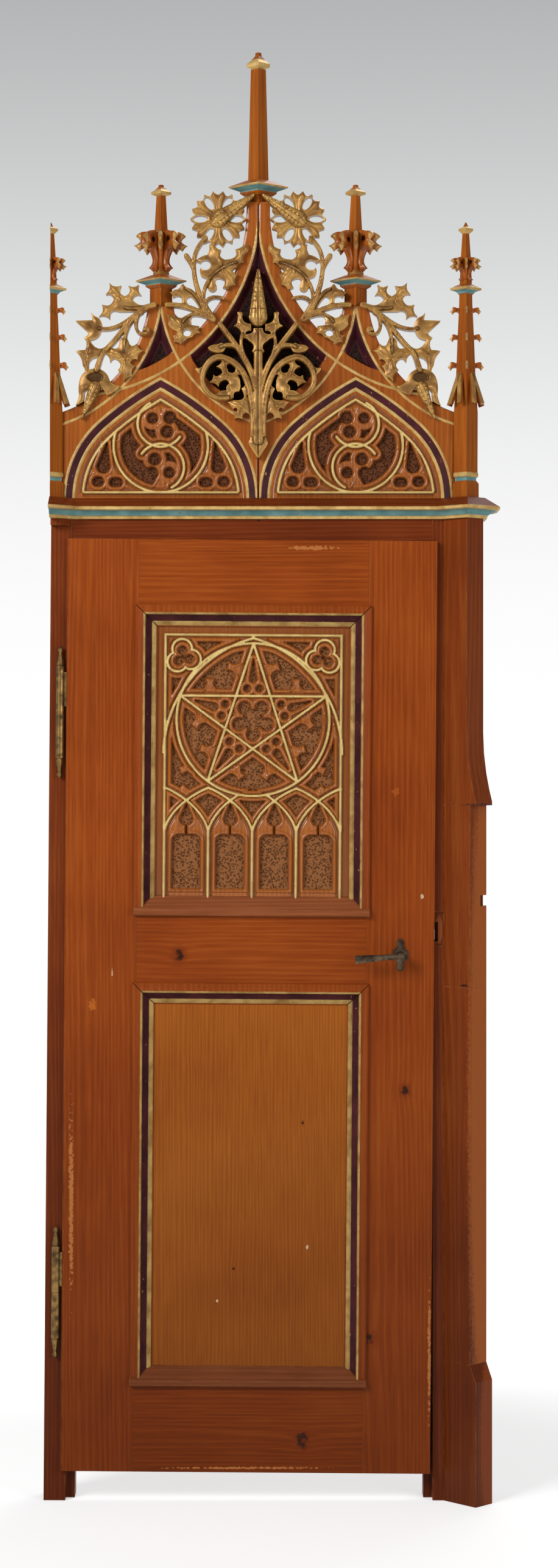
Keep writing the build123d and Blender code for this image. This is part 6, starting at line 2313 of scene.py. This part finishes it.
@dataclass
class Pinnacles:
    """Shafts, leaf crowns and outer pinnacles over the cresting."""

    crest: Cresting
    shaft_half: float = 0.023
    shaft_y: float = 0.015
    side_sunk: float = 0.012
    centre_sunk: float = 0.006
    crocket_taper: float = 0.06
    neck_half: float = 0.019
    neck: tuple[Place, ...] = ((0.9, 0.0), (0.8, 0.12), (0.62, 0.5), (0.7, 0.8), (0.7, 1.0))
    half: float = 0.025
    profile: tuple[Place, ...] = (
        (1.06, 0.0), (1.06, 0.051), (0.85, 0.062), (0.85, 0.071), (1.0, 0.076), (1.03, 0.083), (1.0, 0.089),
        (0.96, 0.093), (0.98, 0.306), (0.78, 0.457), (0.68, 0.572), (0.54, 0.705), (0.53, 0.736),
        (0.8, 0.748), (1.28, 0.754), (1.28, 0.761), (0.5, 0.776), (0.44, 0.838), (0.42, 0.865),
        (0.28, 0.958), (0.6, 0.97), (0.6, 0.977), (0.2, 0.985), (0.05, 1.0),
    )
    crockets: tuple[float, ...] = (0.452, 0.557, 0.657)
    crown_level: float = 0.776
    crown_size: float = 0.6
    gablet_level: float = 0.45
    slat: tuple[float, float, float] = (0.0095, 0.0075, 0.07)
    slat_lean: float = -14.0
    slat_splay: float = 11.0
    slat_reach: float = 0.018
    bands: Bands = (
        (0.0, Trim.WOOD), (0.0605, Trim.TEAL), (0.074, Trim.GOLD), (0.091, Trim.WOOD), (0.741, Trim.TEAL),
        (0.7525, Trim.GOLD), (0.764, Trim.WOOD), (0.959, Trim.GOLD), (0.984, Trim.WOOD),
    )

    def build(self) -> None:
        """Make all of them."""
        self.ring = Ring()
        self.wood = CARVED_CREST.material()
        self.leaf = CROWN_LEAF.build(self.wood)
        self.crocket = CROCKET.build(self.wood)
        self.gablet = self._gablet()
        for side in Side:
            self._shafts(side)
            self._crown(side)
            self._outer(side)
        for spare in (self.leaf, self.crocket, self.gablet):
            bpy.data.objects.remove(spare)

    def _shafts(self, side: Side) -> None:
        """The shaft over the side gable, and half of the middle one, with a gilded arris.

        Args:
            side: which half of the cresting it stands on.
        """
        crest = self.crest
        low = crest.base + crest.side_neck_share * crest.half - self.side_sunk
        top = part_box("mid_abacus_" + side.value)[0].z
        axis = Vector((crest.x - side.turn * crest.half / 2, self.shaft_y, low))
        shaft = turned("mid_shaft", ((self.shaft_half, 0.0), (self.shaft_half, top - low)), 4, axis)
        neck = crest.base + crest.centre_neck_share * crest.half - self.centre_sunk
        axis = Vector((crest.x, self.shaft_y, neck))
        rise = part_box("centre_abacus")[0].z - neck
        middle = turned("centre_shaft", ((self.shaft_half, 0.0), (self.shaft_half, rise)), 4, axis)
        self._halve(middle, crest.x, -side.turn)
        piece = finished(joined("shafts_" + side.value, (shaft, middle)), SHAFT.material(), TURNED_CREASE)
        settle(piece, "frame", "carved_pine")

    @staticmethod
    def _halve(mesh: Mesh, x: float, keep: float) -> None:
        """Keep what lies on one side of an upright plane, and close the cut.

        Args:
            mesh: what is cut.
            x: where the plane stands.
            keep: 1 for what lies right of it, -1 for what lies left.
        """
        shape = bmesh.new()
        shape.from_mesh(mesh)
        parts = [*shape.verts, *shape.edges, *shape.faces]
        cut = bmesh.ops.bisect_plane(shape, geom=parts, plane_co=(x, 0, 0), plane_no=(-keep, 0, 0),
                                     clear_outer=True)
        rim = [part for part in cut["geom_cut"] if isinstance(part, bmesh.types.BMEdge)]
        bmesh.ops.holes_fill(shape, edges=rim)
        bmesh.ops.recalc_face_normals(shape, faces=shape.faces)
        shape.to_mesh(mesh)
        shape.free()

    def _crown(self, side: Side) -> None:
        """A neck with a crown of eight curled leaves.

        Args:
            side: which half of the cresting it stands on.
        """
        node = "mid_crown_" + side.value
        low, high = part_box(node)
        axis = Vector(((low.x + high.x) / 2, (low.y + high.y) / 2, low.z))
        rise = high.z - low.z
        neck = turned(node, [(self.neck_half * reach, rise * share) for reach, share in self.neck], 4, axis)
        leaves = self.ring.mesh(self.leaf, 8, axis, self.wood)
        piece = finished(joined("carved_" + node, (neck, leaves)), self.wood, CARVED_CREASE)
        settle(piece, "frame", "carved_pine", node)

    def _gablet(self) -> Object:
        """Two slats that lean on a face of the shaft and meet at their tops.

        Returns:
            Both slats as one object.
        """
        wide, thick, long = self.slat
        shape = bmesh.new()
        gold: list[float] = []
        for hand in (-1.0, 1.0):
            lean = Matrix.Rotation(math.radians(self.slat_lean), 4, "Y")
            splay = Matrix.Rotation(hand * math.radians(self.slat_splay), 4, "X")
            hung = lean @ splay @ Matrix.Translation((0.0, 0.0, -long / 2))
            place = Matrix.Translation((self.slat_reach, 0.0, 0.0)) @ hung
            verts = bmesh.ops.create_cube(shape, size=1.0)["verts"]
            gold += [-0.002 if vert.co.x > 0 else 0.003 for vert in verts]
            place = place @ Matrix.Diagonal((thick, wide, long, 1.0))
            bmesh.ops.transform(shape, matrix=place, verts=verts)
        mesh = bpy.data.meshes.new("gablet")
        shape.to_mesh(mesh)
        shape.free()
        leave_marks(mesh, {"gold": gold, "purple": [1.0] * len(gold), "hollow": [0.0] * len(gold)})
        return linked("gablet", mesh)

    def _outer(self, side: Side) -> None:
        """An outer pinnacle; the left one is halved.

        Args:
            side: which half of the cresting it stands on.
        """
        node = "outer_pinnacle_" + side.value
        low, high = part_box(node)
        rise = high.z - low.z
        x = low.x if side is Side.LEFT else (low.x + high.x) / 2
        axis = Vector((x, (low.y + high.y) / 2, low.z))
        shaft = turned(node, [(self.half * reach, rise * share) for reach, share in self.profile], 4, axis)
        up = Vector((0.0, 0.0, rise))
        parts = [shaft]
        for number, share in enumerate(self.crockets):
            size = 1.0 - self.crocket_taper * number
            parts.append(self.ring.mesh(self.crocket, 4, axis + up * share, self.wood, 0.0, size, number))
        crown, gablets = axis + up * self.crown_level, axis + up * self.gablet_level
        parts.append(self.ring.mesh(self.leaf, 8, crown, self.wood, 0.0, self.crown_size))
        parts.append(self.ring.mesh(self.gablet, 4, gablets, self.wood, 45.0))
        if side is Side.LEFT:
            for part in parts:
                self._halve(part, x, 1.0)
        core = finished(joined("shaft_" + node, parts[:1]), banded_up(node, self.bands), TURNED_CREASE)
        settle(core, "frame", "carved_pine", node)
        piece = finished(joined("leaves_" + node, parts[1:]), self.wood, CARVED_CREASE)
        settle(piece, "frame", "carved_pine")


CARVED_CREST = Carved("carved_crown", CREST, (0.03, 0.01, 0.004), (0.06, 0.022, 0.01), gloss=0.3,
                      gilt=Gilt("crown_gilding", (0.52, 0.3, 0.09), (0.34, 0.16, 0.04)))
SHAFT = replace(CREST, name="shaft_pine", wear=1.0, worn=(0.58, 0.34, 0.1))


# Studio

@dataclass
class Studio:
    """Floor, surround, lamps and camera."""

    image_width: int = 916
    image_height: int = 2576
    metres_per_pixel: float = 0.00125
    middle_pixel: float = 452.0
    floor_pixel: float = 2465.0
    horizon_pixel: float = 1240.0
    distance: float = 6.3
    floor_half: float = 30.0
    pale: Colour = (0.86, 0.86, 0.86)
    grey: Colour = (0.33, 0.345, 0.35)
    floor_glow: Colour = (2.1, 2.1, 2.1)
    shadow_share: float = 0.74
    shadow_reach: Place = (0.8, 2.6)
    even_light: float = 0.22
    lamp_aim: float = 1.5
    lamps: tuple[tuple[str, Sequence[float], float, float], ...] = (
        ("key", (-3.4, -4.2, 4.0), 2.2, 235.0), ("fill", (4.2, -4.6, 2.4), 2.6, 95.0),
        ("rim", (0.8, 2.0, 5.0), 2.0, 60.0),
    )

    def build(self) -> None:
        """Set up the whole studio."""
        self._camera()
        self._floor()
        self._surround()
        for lamp in self.lamps:
            self._lamp(*lamp)
        bpy.context.scene.view_settings.view_transform = "Standard"

    def _camera(self) -> None:
        """A level camera at the photograph's height and distance."""
        data = bpy.data.cameras.new("camera")
        span = self.image_height * self.metres_per_pixel
        data.sensor_fit = "VERTICAL"
        data.sensor_height = 36.0
        data.lens = data.sensor_height * self.distance / span
        data.shift_y = (self.horizon_pixel - self.image_height / 2) / self.image_height
        camera = linked("camera", data)
        camera.location = (
            (self.image_width / 2 - self.middle_pixel) * self.metres_per_pixel, -self.distance,
            (self.floor_pixel - self.horizon_pixel) * self.metres_per_pixel,
        )
        camera.rotation_euler = (math.pi / 2, 0.0, 0.0)
        bpy.context.scene.camera = camera

    @staticmethod
    def _seen(paint: Paint) -> tuple[Value, Value]:
        """Masks of what the camera sees itself, and of what it sees in metal or through glass.

        Args:
            paint: the material that is being painted.

        Returns:
            Both masks.
        """
        kinds = ("Is Camera Ray", "Is Glossy Ray", "Is Transmission Ray")
        camera, glossy, through = paint.several("ShaderNodeLightPath", {}, *kinds)
        return camera, glossy.most(through)

    def _floor(self) -> None:
        """A pale floor, which takes the door's shadow and turns white away from it."""
        half = self.floor_half
        mesh = bpy.data.meshes.new("studio_floor")
        rim = [(-half, -half, 0), (half, -half, 0), (half, half, 0), (-half, half, 0)]
        mesh.from_pydata(rim, [], [(0, 1, 2, 3)])
        floor = linked("studio_floor", mesh)
        paint = Paint("studio_pale")
        x, y, _ = paint.axes()
        near = 1.0 - (x * x + y * y).root().step(*self.shadow_reach)
        plain = paint.node("ShaderNodeBsdfDiffuse", {}, {"Color": self.pale})
        white = paint.mix(near, (1.0, 1.0, 1.0), self.floor_glow)
        glow = paint.node("ShaderNodeEmission", {}, {"Color": white, "Strength": 1.0})
        camera, mirrored = self._seen(paint)
        seen = camera.most(mirrored) * (1.0 - near * self.shadow_share)
        both = paint.node("ShaderNodeMixShader", {}, {0: seen, 1: plain, 2: glow})
        mesh.materials.append(paint.end(both))

    def _surround(self) -> None:
        """An even light from all round, seen as a backdrop that is grey towards the top."""
        world = bpy.data.worlds.new("surround")
        paint = Paint("surround", world)
        _, back, up = paint.axes()
        shade = paint.ramp(up.step(0.008, 0.326), ((0.0, (1.0, 1.0, 1.0)), (1.0, self.grey)))
        camera, mirrored = self._seen(paint)
        seen = camera.most(mirrored * back.step(0.0, 0.1))
        even = {"Color": (1.0, 1.0, 1.0), "Strength": self.even_light}
        light = paint.node("ShaderNodeBackground", {}, even)
        backdrop = paint.node("ShaderNodeBackground", {}, {"Color": shade, "Strength": 1.0})
        both = paint.node("ShaderNodeMixShader", {}, {0: seen, 1: light, 2: backdrop})
        bpy.context.scene.world = paint.end(both, "ShaderNodeOutputWorld")

    def _lamp(self, name: str, place: Sequence[float], size: float, power: float) -> None:
        """A soft square lamp aimed at the middle of the door.

        Args:
            name: what the lamp is called.
            place: where it hangs.
            size: length of its sides.
            power: in watts.
        """
        data = bpy.data.lights.new(name, "AREA")
        data.shape = "SQUARE"
        data.size = size
        data.energy = power
        lamp = linked(name, data)
        lamp.location = place
        lamp.visible_camera = False
        aim = Vector((0.0, 0.0, self.lamp_aim)) - Vector(place)
        lamp.rotation_euler = aim.to_track_quat("-Z", "Y").to_euler()


def main() -> None:
    """Dress the door, piece by piece."""
    logging.basicConfig(level=logging.INFO, format="%(name)s: %(message)s")
    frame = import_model()
    hang = Hang.read(frame)
    Joinery(frame, hang).build()
    StarPanel(frame, hang).build()
    crest = Cresting()
    for side in Side:
        LunettePanel(side, crest.base).build()
        CrestingBoard(crest, side).build()
        for name, sheet in (("outer", OUTER), ("inner", INNER), ("centre", CENTRE)):
            Spray(crest, name, side, sheet).build()
    Pinnacles(crest).build()
    Studio().build()


if __name__ == "__main__":
    main()
